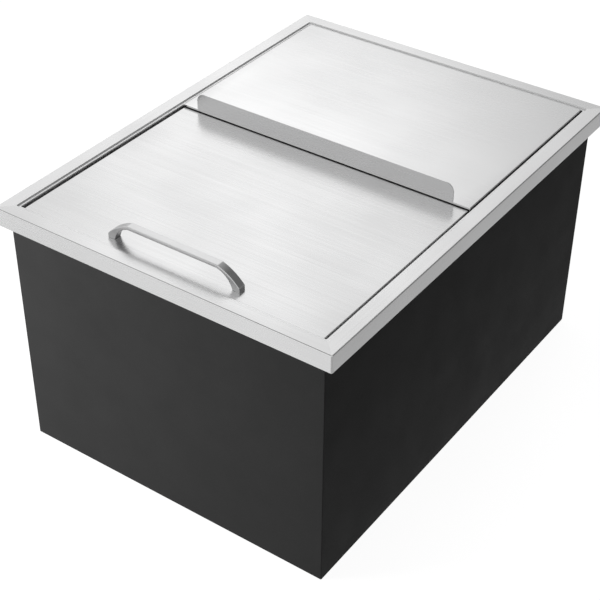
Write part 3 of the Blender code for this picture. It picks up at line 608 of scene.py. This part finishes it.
class ICEBIN_OT_rim(bpy.types.Operator):
    """Make the wide rim: inner wall, ledge, step, flat top, skirt and its lip"""

    bl_idname = "ice_bin.make_rim"
    bl_label = "Make the rim"

    def execute(self, context):
        sizes = context.scene.ice_bin_sizes
        low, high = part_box("top_frame")
        wall = sizes.rim_flat + sizes.ledge_width
        ledge = high.z - sizes.step_drop
        corners = [(wall, high.z - sizes.wall_depth), (wall, ledge), (sizes.rim_flat, ledge),
                   (sizes.rim_flat, high.z), (0.0, high.z), (0.0, low.z), (sizes.skirt_lip, low.z)]
        radii = [sizes.step_bend, sizes.step_root, sizes.step_bend, sizes.rim_bend, sizes.rim_bend]
        rings = []
        for inset, z, rub in filleted(corners, radii):
            radius = max(sizes.rim_corner - inset, TIGHT_CORNER)
            if inset > sizes.rim_flat / 2:
                radius = sizes.opening_corner
            rings.append(rectangle_ring(high.x - inset, low.y + inset, high.y - inset, radius, z, rub))
        mesh = folded_sheet("rim", rings, sizes.steel_sheet)
        # The rim's left and right sides take the lighter copy of the steel: painted light
        for face in mesh.polygons:
            centre = face.center
            face.material_index = int(high.x - abs(centre.x) < high.y - abs(centre.y))
        put(context, "rim_sheet", mesh, ["brushed across", "brushed lengthwise painted lighter"], BIN, ["top_frame"])
        return {"FINISHED"}


def folded_tray(name, sizes, low, high):
    """A lid with all its edges folded down."""
    fold = filleted([(2 * sizes.lid_bend, high.z), (0.0, high.z), (0.0, low.z)], [sizes.lid_bend])
    rings = []
    for inset, z, rub in fold[1:]:
        radius = sizes.lid_corner - min(inset, sizes.lid_bend)
        rings.append(rectangle_ring(high.x - inset, low.y + inset, high.y - inset, radius, z, rub))
    return folded_sheet(name, rings, sizes.steel_sheet, cap_first=True)


def bolt_places():
    """The centres of the two screws that hold the handle."""
    return [tuple(middle(*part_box(f"handle_screw_{side}")).xy) for side in ("left", "right")]


class ICEBIN_OT_front_lid(bpy.types.Operator):
    """Make the sliding front lid, with the holes for its handle"""

    bl_idname = "ice_bin.make_front_lid"
    bl_label = "Make the front lid"

    def execute(self, context):
        sizes = context.scene.ice_bin_sizes
        low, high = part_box("front_lid")
        holes = rods(sizes.bolt_hole, high.z - MARGIN, high.z + MARGIN, bolt_places())
        mesh = cut_with(folded_tray("front_lid_sheet", sizes, low, high), holes)
        put(context, "front_lid_sheet", mesh, ["brushed across"], SLIDING_LID, ["front_lid"])
        return {"FINISHED"}


def bowed(start, end, bow):
    """A gentle arc between two points, which stands out from the straight line by the bow."""
    start, end = Vector(start), Vector(end)
    along = (end - start).normalized()
    out = Vector((-along.y, along.x))
    half_chord = (end - start).length / 2
    radius = (half_chord ** 2 + bow ** 2) / (2 * bow)
    centre = (start + end) / 2 - (radius - bow) * out
    sweep = math.asin(half_chord / radius)
    angles = [sweep * (2 * step / ARC_STEPS - 1) for step in range(ARC_STEPS + 1)]
    points = [centre + radius * (math.cos(angle) * out + math.sin(angle) * along) for angle in angles]
    return [tuple(point) for point in points]


def handle_outline(sizes, half, height):
    """Front view of the handle: a straight grip whose ends slope down in a bow to upright feet."""
    outer = bowed((sizes.grip_half, height), (half, sizes.foot_height), sizes.leg_bow) + [(half, 0.0)]
    inner = bowed((sizes.grip_inside_half, height - sizes.grip_sheet),
                  (half - sizes.foot_thickness, 0.0), sizes.leg_inner_bow)
    leg = outer + list(reversed(inner))
    return [(-x, z) for x, z in leg] + list(reversed(leg))


class ICEBIN_OT_handle(bpy.types.Operator):
    """Make the polished pull handle"""

    bl_idname = "ice_bin.make_handle"
    bl_label = "Make the handle"

    def execute(self, context):
        sizes = context.scene.ice_bin_sizes
        low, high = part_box("lid_handle")
        arris = sizes.handle_arris
        foot = low.z - FOOT_SINK
        outline = [(x, foot + z if z else foot - arris)
                   for x, z in handle_outline(sizes, high.x, high.z - low.z)]
        mesh = worked(upright_plate("pull_handle", outline, low.y, high.y), "BEVEL", limit_method="ANGLE",
                      angle_limit=SHARP_ANGLE, width=arris, segments=HANDLE_STEPS)
        mesh = cut_with(mesh, rods(high.x, foot - 2 * arris, foot, [(0, high.y)]))
        holes = rods(sizes.bolt_hole, low.z - MARGIN, low.z + sizes.bolt_depth, bolt_places())
        put(context, "pull_handle", cut_with(mesh, holes), ["polished steel"], SLIDING_LID,
            ["lid_handle"])
        return {"FINISHED"}


def washer_profile(outer, inner, low, high, arris):
    """A ring's section with small chamfers, down its outer side."""
    return [(outer - arris, high), (outer, high - arris), (outer, low + arris), (outer - arris, low),
            (inner + arris, low), (inner, low + arris), (inner, high - arris), (inner + arris, high)]


class ICEBIN_OT_handle_fixings(bpy.types.Operator):
    """Make the screws and washers that hold the handle from under the lid"""

    bl_idname = "ice_bin.make_handle_fixings"
    bl_label = "Make the handle's screws and washers"

    def execute(self, context):
        bore = context.scene.ice_bin_sizes.bolt_hole
        shank = 0.002
        head_height = 0.0022
        socket = 0.0014
        socket_depth = 0.0012
        ring_arris = 0.00015
        tip_bend = 0.0005
        root_bend = 0.0003
        edge_bend = 0.0004
        crown_bend = 0.0011
        for side in ("left", "right"):
            low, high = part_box(f"handle_screw_{side}")
            head = (high.x - low.x) / 2
            top = low.z + head_height
            place = Matrix.Translation((*middle(low, high).xy, 0))
            profile = filleted([(0, high.z), (shank, high.z), (shank, top), (head, top), (head, low.z),
                                (0, low.z)], [tip_bend, root_bend, edge_bend, crown_bend])
            mesh = cut_with(turned("handle_bolt", profile, SMALL_STEPS),
                            rods(socket, low.z - MARGIN, low.z + socket_depth, [(0, 0)], HEXAGON))
            put(context, f"handle_bolt_{side}", mesh, ["zinc plate"], SLIDING_LID,
                [f"handle_screw_{side}"], place)
            low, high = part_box(f"handle_washer_{side}")
            ring = washer_profile((high.x - low.x) / 2, bore, low.z, high.z, ring_arris)
            put(context, f"handle_ring_{side}", turned("handle_ring", ring, SMALL_STEPS, True),
                ["zinc plate"], SLIDING_LID, [f"handle_washer_{side}"], place)
        return {"FINISHED"}


def open_ring(half_x, front, rear, radius, z, rub):
    """The sides and rear of a rounded rectangle, open at the front, from the front right."""
    ring = [(half_x, front)]
    ring += quarter_arc((half_x - radius, rear - radius), radius, 0.0)
    ring += quarter_arc((radius - half_x, rear - radius), radius, math.pi / 2)
    ring.append((-half_x, front))
    return [(x, y, z, rub) for x, y in ring]


class ICEBIN_OT_rear_lid(bpy.types.Operator):
    """Make the lift-off rear lid with its rounded upstand"""

    bl_idname = "ice_bin.make_rear_lid"
    bl_label = "Make the rear lid"

    def execute(self, context):
        sizes = context.scene.ice_bin_sizes
        low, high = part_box("rear_lid")
        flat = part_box("top_frame")[1].z
        fold = filleted([(2 * sizes.lid_bend, flat), (0.0, flat), (0.0, low.z)], [sizes.lid_bend])
        front = low.y + sizes.steel_sheet / 2
        rings = [open_ring(high.x - inset, front, high.y - inset, sizes.lid_corner - inset, z, rub)
                 for inset, z, rub in fold[1:]]
        tray = folded_sheet("rear_lid_sheet", rings, sizes.steel_sheet, closed=False, cap_first=True)

        half = sizes.upstand_width / 2
        corner = sizes.upstand_corner
        outline = [(-high.x, flat - sizes.upstand_drop), (high.x, flat - sizes.upstand_drop),
                   (high.x, flat), (half, flat)]
        outline += quarter_arc((half - corner, high.z - corner), corner, 0.0, 2 * CORNER_STEPS)
        outline += quarter_arc((corner - half, high.z - corner), corner, math.pi / 2, 2 * CORNER_STEPS)
        outline += [(-half, flat), (-high.x, flat)]
        plate = upright_plate("upstand", outline, low.y, low.y + sizes.steel_sheet)
        mesh = worked(cut_with(tray, plate, "UNION"), "BEVEL", limit_method="ANGLE",
                      angle_limit=EDGE_ANGLE, width=sizes.upstand_arris, segments=EDGE_STEPS)
        nodes = [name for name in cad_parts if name.startswith("rear_lid")]
        put(context, "rear_lid_sheet", mesh, ["brushed across"], REAR_COVER, nodes)
        return {"FINISHED"}


def rivet_places():
    """The centre of each rivet, as X and Z, in order."""
    names = sorted((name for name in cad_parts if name.startswith("rear_rivet")),
                   key=lambda name: int(name.split("_")[-1]))
    return {name: (middle(*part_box(name)).x, middle(*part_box(name)).z) for name in names}


def rivet_holes(front, rear):
    """Rods along Y, to cut the rivets' holes with."""
    bm = bmesh.new()
    for x, z in rivet_places().values():
        place = Matrix.Translation((x, (front + rear) / 2, z)) @ Matrix.Rotation(math.pi / 2, 4, "X")
        bmesh.ops.create_cone(bm, cap_ends=True, segments=SMALL_STEPS, radius1=RIVET_HOLE,
                              radius2=RIVET_HOLE, depth=rear - front, matrix=place)
    return to_mesh("rivet_holes", bm)


class ICEBIN_OT_casing(bpy.types.Operator):
    """Make the black casing: the wrapped front and sides, the rear panel and the bottom pan"""

    bl_idname = "ice_bin.make_casing"
    bl_label = "Make the casing"

    def execute(self, context):
        sizes = context.scene.ice_bin_sizes
        low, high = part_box("casing_wrap")
        side, rear, front = high.x, high.y, low.y
        path = [(side - sizes.casing_return, rear), (side, rear), (side, front), (-side, front),
                (-side, rear), (sizes.casing_return - side, rear)]
        line = list(reversed(filleted(path, [sizes.casing_bend] * 4)))
        rings = [[(x, y, z, rub) for x, y, rub in line] for z in (high.z, low.z)]
        wrap = folded_sheet("casing_sheet", rings, sizes.casing_sheet, closed=False)
        wrap = cut_with(wrap, rivet_holes(rear - MARGIN, rear + MARGIN))
        put(context, "casing_sheet", wrap, ["black coating"], BIN, ["casing_wrap"])

        low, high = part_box("rear_panel")
        panel = cut_with(eased_block("back_panel", low, high, sizes.panel_arris, EDGE_STEPS),
                         rivet_holes(low.y - MARGIN, high.y + MARGIN))
        put(context, "back_panel", panel, ["black coating"], BIN, ["rear_panel"])

        low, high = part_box("bottom_pan")
        bend = sizes.casing_bend
        wall = filleted([(0.0, high.z), (0.0, low.z), (2 * bend, low.z)], [bend])
        rings = [rectangle_ring(high.x - inset, low.y + inset, high.y - inset, 2 * bend - inset, z, rub)
                 for inset, z, rub in wall[:-1]]
        rings.append(circle_ring(sizes.drain_hole, low.z))
        pan = folded_sheet("base_pan", rings, sizes.casing_sheet)
        put(context, "base_pan", pan, ["black coating"], BIN, ["bottom_pan"])
        return {"FINISHED"}


class ICEBIN_OT_rivets(bpy.types.Operator):
    """Make the blind rivets that hold the rear panel"""

    bl_idname = "ice_bin.make_rivets"
    bl_label = "Make the rivets"

    def execute(self, context):
        low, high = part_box("rear_rivet_1")
        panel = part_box("rear_panel")[1].y
        head, crown, tail = (high.x - low.x) / 2, high.y - panel, low.y - panel
        pit = 0.0006
        pit_mouth = 0.0007
        pit_edge = 0.0010
        head_edge = 0.0001
        barrel = 0.0016
        bulb = 0.0024
        bulb_foot = 0.0021
        bulb_height = 0.0012
        bulb_bend = 0.0003
        profile = [(0.0, crown - pit), (pit, crown - pit), (pit_mouth, crown)]
        for step in range(DOME_STEPS):
            turn = math.pi / 2 * step / DOME_STEPS
            if head * math.sin(turn) > pit_edge:
                z = max(crown * math.cos(turn), CLEARANCE + head_edge)
                profile.append((head * math.sin(turn), z))
        profile += [(head, CLEARANCE), (barrel, CLEARANCE), (barrel, tail + bulb_height),
                    (bulb, tail + bulb_height), (bulb_foot, tail + bulb_bend), (barrel, tail), (0.0, tail)]
        mesh = turned("blind_rivet", profile, SMALL_STEPS)
        for number, (name, (x, z)) in enumerate(rivet_places().items(), start=1):
            place = Matrix.Translation((x, panel, z)) @ Matrix.Rotation(-math.pi / 2, 4, "X")
            put(context, f"blind_rivet_{number}", mesh.copy(), ["zinc plate"], BIN, [name],
                place)
        bpy.data.meshes.remove(mesh)
        return {"FINISHED"}


class ICEBIN_OT_tub(bpy.types.Operator):
    """Make the tub that holds the ice"""

    bl_idname = "ice_bin.make_tub"
    bl_label = "Make the tub"

    def execute(self, context):
        sizes = context.scene.ice_bin_sizes
        low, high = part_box("inner_liner")
        half_x = sizes.tub_width / 2
        half_y = sizes.tub_length / 2
        floor = low.z + sizes.steel_sheet
        edge = sizes.well_radius
        deep = sizes.well_depth
        hole = 0.0172
        toe = 0.0025
        slope = 0.0012
        foot_rise = 0.0006
        top_fall = 0.0004
        flange_corner = 0.003
        well = [(hole, 0.0), (edge - toe, 0.0), (edge - slope, foot_rise), (edge, deep - top_fall),
                (edge + slope, deep)]
        rings = [circle_ring(radius, floor + z) for radius, z in well]
        wall = filleted([(sizes.tub_floor_bend * 2, sizes.tub_floor), (0, sizes.tub_floor),
                         (0, high.z), (-sizes.tub_rim_bend * 2, high.z)],
                        [sizes.tub_floor_bend, sizes.tub_rim_bend])
        for inset, z, rub in wall[1:-1]:
            rings.append(rectangle_ring(half_x - inset, inset - half_y, half_y - inset,
                                        sizes.tub_corner - inset, z, rub))
        rings.append(rectangle_ring(high.x, low.y, high.y, flange_corner, high.z))
        mesh = folded_sheet("tub_sheet", rings, sizes.steel_sheet)
        put(context, "tub_sheet", mesh, ["tub steel"], BIN, ["inner_liner"])
        return {"FINISHED"}


class ICEBIN_OT_slides(bpy.types.Operator):
    """Make the angles and the glide strips that the lids stand on"""

    bl_idname = "ice_bin.make_slides"
    bl_label = "Make the slides"

    def execute(self, context):
        sizes = context.scene.ice_bin_sizes
        for side in ("left", "right"):
            low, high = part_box(f"{side}_slide_rail")
            outer, inner = (high.x, low.x) if side == "right" else (low.x, high.x)
            line = filleted([(outer, high.z), (outer, low.z), (inner, low.z)], [sizes.rail_bend])
            if side == "right":
                line.reverse()
            rings = [[(x, y, z, rub) for x, z, rub in line] for y in (low.y, high.y)]
            rail = folded_sheet("rail", rings, sizes.rail_sheet, closed=False)
            put(context, f"rail_{side}", rail, ["tub steel"], BIN, [f"{side}_slide_rail"])
            strip = eased_block("strip", *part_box(f"{side}_glide_strip"), sizes.strip_arris, STRIP_STEPS)
            put(context, f"strip_{side}", strip, ["nylon strip"], BIN, [f"{side}_glide_strip"])
        return {"FINISHED"}


def foam_slab(name, low, high, arris):
    """A slab with rounded edges whose broad faces waver slightly inward."""
    bm = bmesh.new()
    counts = [max(2, round(span / FOAM_STEP)) for span in high - low]
    points = {}
    for key in product(*(range(count + 1) for count in counts)):
        ends = [axis for axis in range(3) if key[axis] in (0, counts[axis])]
        if not ends:
            continue
        place = Vector([low[axis] + (high[axis] - low[axis]) * key[axis] / counts[axis]
                        for axis in range(3)])
        if len(ends) == 1:
            axis = ends[0]
            first, second = [key[other] for other in range(3) if other != axis]
            wave = math.sin(first * FOAM_WAVES[0] + axis) * math.sin(second * FOAM_WAVES[1] + 2 * axis)
            inward = -1 if key[axis] else 1
            place[axis] += inward * FOAM_WAVER * (1 + wave) / 2
        points[key] = bm.verts.new(place)
    for axis, (first, second) in enumerate(((1, 2), (0, 2), (0, 1))):
        sides = product((0, counts[axis]), range(counts[first]), range(counts[second]))
        for end, a, b in sides:
            face = []
            for step_a, step_b in ((0, 0), (1, 0), (1, 1), (0, 1)):
                key = [end, end, end]
                key[first] = a + step_a
                key[second] = b + step_b
                face.append(points[tuple(key)])
            bm.faces.new(face)
    bmesh.ops.recalc_face_normals(bm, faces=bm.faces)
    return worked(to_mesh(name, bm), "BEVEL", limit_method="ANGLE", angle_limit=EDGE_ANGLE, width=arris,
                  segments=EDGE_STEPS)


class ICEBIN_OT_insulation(bpy.types.Operator):
    """Make the foam slabs between the tub and the casing"""

    bl_idname = "ice_bin.make_insulation"
    bl_label = "Make the insulation"

    def execute(self, context):
        sizes = context.scene.ice_bin_sizes
        for side in ("front", "rear", "left", "right", "bottom"):
            low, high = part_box(f"{side}_insulation")
            mesh = foam_slab(f"foam_{side}", low, high, sizes.foam_arris)
            if side == "bottom":
                mesh = cut_with(mesh, rods(sizes.foam_hole, low.z - MARGIN, high.z + MARGIN, [(0, 0)],
                                           ROUND_STEPS))
            put(context, f"foam_{side}", mesh, ["foam board"], BIN, [f"{side}_insulation"])
        return {"FINISHED"}


class ICEBIN_OT_drain(bpy.types.Operator):
    """Make the floor drain: body, seals, nut, strainer and the lift-out plug"""

    bl_idname = "ice_bin.make_drain"
    bl_label = "Make the drain"

    def execute(self, context):
        low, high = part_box("drain_body")
        flange = high.x
        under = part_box("drain_gasket")[1].z + CLEARANCE
        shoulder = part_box("drain_strainer")[0].z - CLEARANCE
        tail = 0.0166
        bore = 0.0110
        cup = 0.0136
        mouth = 0.0150
        flat = 0.0225
        outline = [(flat, high.z), (flange, high.z), (flange, under), (tail, under), (tail, low.z),
                   (bore, low.z), (bore, shoulder), (cup, shoulder), (cup, high.z - mouth + cup),
                   (mouth, high.z), (flat, high.z)]
        bends = [0.0007, 0.0003, 0.0004, 0.0006, 0.0006, 0.0003, 0.0002, 0.0008, 0.0006]
        body = turned("drain_cup", filleted(outline, bends, SMALL_BEND_STEPS)[:-1], ROUND_STEPS, True)
        put(context, "drain_cup", body, ["polished steel"], BIN, ["drain_body"])

        ring_bore = 0.0169
        ring_arris = 0.0002
        for node, name, finish, slot in (("drain_gasket", "drain_seal", "rubber", "rubber"),
                                         ("drain_washer", "drain_fibre_ring", "pressed fibre", "fibre")):
            low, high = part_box(node)
            ring = washer_profile(high.x, ring_bore, low.z, high.z, ring_arris)
            put(context, name, turned(name, ring, ROUND_STEPS, True), [finish], BIN, [node])

        low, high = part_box("drain_locknut")
        corner = high.x
        sink = 0.0181
        sink_depth = 0.0012
        spare = 0.0002
        flats = corner * math.cos(math.pi / HEXAGON)
        slope = (corner - flats) * math.tan(math.pi / HEXAGON)
        barrel = [(flats, high.z), (corner + spare, high.z - slope), (corner + spare, low.z + slope),
                  (flats, low.z), (sink, low.z), (ring_bore, low.z + sink_depth),
                  (ring_bore, high.z - sink_depth), (sink, high.z)]
        nut = cut_with(turned("drain_nut", barrel, ROUND_STEPS, True),
                       rods(corner, low.z - MARGIN, high.z + MARGIN, [(0, 0)], HEXAGON), "INTERSECT")
        put(context, "drain_nut", nut, ["zinc plate"], BIN, ["drain_locknut"])

        low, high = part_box("drain_strainer")
        arris = 0.0003
        hole = 0.002
        pitch = 0.0075
        disc = [(0.0, high.z), (high.x - arris, high.z), (high.x, high.z - arris),
                (high.x, low.z + arris), (high.x - arris, low.z), (0.0, low.z)]
        angles = [2 * math.pi * step / HEXAGON for step in range(HEXAGON)]
        centres = [(0, 0)] + [(pitch * math.cos(angle), pitch * math.sin(angle)) for angle in angles]
        grate = cut_with(turned("drain_grate", disc), rods(hole, low.z - MARGIN, high.z + MARGIN, centres))
        put(context, "drain_grate", grate, ["polished steel"], BIN, ["drain_strainer"])

        low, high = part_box("drain_plug")
        taper = 0.0006
        neck = 0.0032
        knob = 0.0062
        body_height = 0.008
        knob_height = 0.0102
        body_top = low.z + body_height
        knob_foot = low.z + knob_height
        outline = [(0.0, high.z), (knob, high.z), (knob, knob_foot), (neck, knob_foot), (neck, body_top),
                   (high.x, body_top), (high.x - taper, low.z), (0.0, low.z)]
        bends = [0.0011, 0.0006, 0.0005, 0.0006, 0.0008, 0.0010]
        stopper = turned("drain_stopper", filleted(outline, bends, SMALL_BEND_STEPS))
        put(context, "drain_stopper", stopper, ["rubber"], STOPPER, ["drain_plug"])
        return {"FINISHED"}


# Studio

def seen_and_mirrored(tree):
    """Whether a ray comes from the camera, and whether metal or glass sends it."""
    path = add_node(tree, "ShaderNodeLightPath").outputs
    mirrored = calculate(tree, "MAXIMUM", path["Is Glossy Ray"], path["Is Transmission Ray"])
    return path["Is Camera Ray"], mirrored


def ramp(tree, value, start, end, outside, inside):
    values = {"Value": value, "From Min": start, "From Max": end, "To Min": outside, "To Max": inside}
    return add_node(tree, "ShaderNodeMapRange", values, interpolation_type="SMOOTHSTEP").outputs["Result"]


def lobe(tree, way, patch, outside, inside):
    """A soft patch of the room round one direction."""
    toward, start, end = patch
    values = {0: way, 1: Vector(toward).normalized()}
    lean = add_node(tree, "ShaderNodeVectorMath", values, operation="DOT_PRODUCT").outputs["Value"]
    return ramp(tree, lean, start, end, outside, inside)


def make_floor(context):
    """A pale floor; the camera sees it as white where nothing shades it."""
    finish, tree, shader = new_finish("studio floor")
    looks = context.scene.ice_bin_finishes
    studio = context.scene.ice_bin_studio
    seen, mirrored = seen_and_mirrored(tree)
    place = add_node(tree, "ShaderNodeTexCoord").outputs["Object"]
    across = add_node(tree, "ShaderNodeSeparateXYZ", {"Vector": place}).outputs["X"]
    gleam = studio.floor_gleam
    for (near, far), shade in ((RIGHT_FLOOR, studio.right_shade), (LEFT_FLOOR, studio.left_shade)):
        gleam = calculate(tree, "MULTIPLY", gleam, ramp(tree, across, near, far, 1.0, 1.0 - shade))
    glow = calculate(tree, "ADD", calculate(tree, "MULTIPLY", seen, studio.floor_glow),
                     calculate(tree, "MULTIPLY", mirrored, gleam))
    fill_inputs(tree, shader, {"Base Color": (*looks.floor, 1.0), "Roughness": 0.9,
                               "Specular IOR Level": 0.0, "Emission Color": WHITE,
                               "Emission Strength": glow})
    bm = bmesh.new()
    bmesh.ops.create_grid(bm, x_segments=1, y_segments=1, size=FLOOR_REACH)
    mesh = to_mesh("studio_floor", bm)
    mesh.materials.append(finish)
    floor = bpy.data.objects.new("studio_floor", mesh)
    context.scene.collection.objects.link(floor)
    floor.location.z = -FLOOR_DROP


def make_room(context):
    """A white room with darker and brighter patches, as the bright metal shows it."""
    studio = context.scene.ice_bin_studio
    world = bpy.data.worlds.new("studio room")
    context.scene.world = world
    world.use_nodes = True
    tree = world.node_tree
    background = tree.nodes["Background"]
    background.inputs["Color"].default_value = WHITE
    way = add_node(tree, "ShaderNodeTexCoord").outputs["Generated"]
    dark = 1.0
    for patch, shade in ((REAR_DARK, studio.rear_shade), (ZENITH_DARK, studio.zenith_shade),
                         (BLACK_FLAG, studio.flag_shade)):
        dark = calculate(tree, "MULTIPLY", dark, lobe(tree, way, patch, 1.0, 1.0 - shade))
    bright = studio.walls
    for patch, gain in ((SOFTBOX, studio.softbox), (FRONT_PANEL, studio.front_panel)):
        bright = calculate(tree, "ADD", bright, lobe(tree, way, patch, 0.0, gain))
    seen, mirrored = seen_and_mirrored(tree)
    level = add_node(tree, "ShaderNodeMapRange", {"Value": mirrored, "To Min": studio.sky, "To Max": bright})
    lit = calculate(tree, "MULTIPLY", level.outputs["Result"], dark)
    tree.links.new(calculate(tree, "MAXIMUM", lit, seen), background.inputs["Strength"])


def add_lamp(context, name, power, size, location, target):
    """A square lamp that metal and the camera don't see."""
    lamp = bpy.data.lights.new(name, "AREA")
    lamp.energy = power
    lamp.shape = "SQUARE"
    lamp.size = size
    holder = bpy.data.objects.new(name, lamp)
    context.scene.collection.objects.link(holder)
    holder.location = location
    holder.rotation_euler = (Vector(target) - Vector(location)).to_track_quat("-Z", "Y").to_euler()
    holder.visible_glossy = False
    holder.visible_camera = False


def add_camera(context):
    """The photograph's camera, as it was fitted to the bin's edges."""
    lens = bpy.data.cameras.new("camera")
    lens.lens = LENS_LENGTH
    lens.sensor_width = SENSOR_WIDTH
    lens.clip_start, lens.clip_end = CAMERA_CLIP
    camera = bpy.data.objects.new("camera", lens)
    context.scene.collection.objects.link(camera)
    turn = Matrix((CAMERA_RIGHT, -CAMERA_DOWN, -CAMERA_FORWARD)).transposed().to_4x4()
    camera.matrix_world = Matrix.Translation(CAMERA_PLACE) @ turn
    context.scene.camera = camera


class ICEBIN_OT_stage(bpy.types.Operator):
    """Set up the floor, the room, the lamps and the camera"""

    bl_idname = "ice_bin.make_stage"
    bl_label = "Set up the studio"

    def execute(self, context):
        studio = context.scene.ice_bin_studio
        make_floor(context)
        make_room(context)
        add_lamp(context, "key_lamp", studio.key, *KEY_LAMP)
        add_lamp(context, "top_lamp", studio.top, *TOP_LAMP)
        add_lamp(context, "fill_lamp", studio.fill, *FILL_LAMP)
        add_camera(context)
        context.scene.view_settings.view_transform = "Standard"
        return {"FINISHED"}


class ICEBIN_PT_panel(bpy.types.Panel):
    """Lists the pieces of the ice bin and their settings"""

    bl_idname = "ICEBIN_PT_panel"
    bl_label = "Drop in ice bin"
    bl_space_type = "VIEW_3D"
    bl_region_type = "UI"
    bl_category = "Ice bin"

    def draw(self, context):
        layout = self.layout
        for operator in OPERATORS:
            layout.operator(operator.bl_idname)
        for settings in (context.scene.ice_bin_sizes, context.scene.ice_bin_finishes,
                         context.scene.ice_bin_studio):
            box = layout.box()
            for name in settings.bl_rna.properties.keys():
                if name not in ("rna_type", "name"):
                    box.prop(settings, name)


OPERATORS = (ICEBIN_OT_rim, ICEBIN_OT_front_lid, ICEBIN_OT_handle, ICEBIN_OT_handle_fixings,
             ICEBIN_OT_rear_lid, ICEBIN_OT_casing, ICEBIN_OT_rivets, ICEBIN_OT_tub, ICEBIN_OT_slides,
             ICEBIN_OT_insulation, ICEBIN_OT_drain, ICEBIN_OT_stage)
CLASSES = (IceBinSizes, IceBinFinishes, IceBinStudio, *OPERATORS, ICEBIN_PT_panel)


def register():
    for each in CLASSES:
        bpy.utils.register_class(each)
    bpy.types.Scene.ice_bin_sizes = PointerProperty(type=IceBinSizes)
    bpy.types.Scene.ice_bin_finishes = PointerProperty(type=IceBinFinishes)
    bpy.types.Scene.ice_bin_studio = PointerProperty(type=IceBinStudio)


def unregister():
    del bpy.types.Scene.ice_bin_studio
    del bpy.types.Scene.ice_bin_finishes
    del bpy.types.Scene.ice_bin_sizes
    for each in reversed(CLASSES):
        bpy.utils.unregister_class(each)


def main():
    register()
    for operator in OPERATORS:
        group, name = operator.bl_idname.split(".")
        getattr(getattr(bpy.ops, group), name)()
    bpy.context.view_layer.update()


if __name__ == "__main__":
    main()
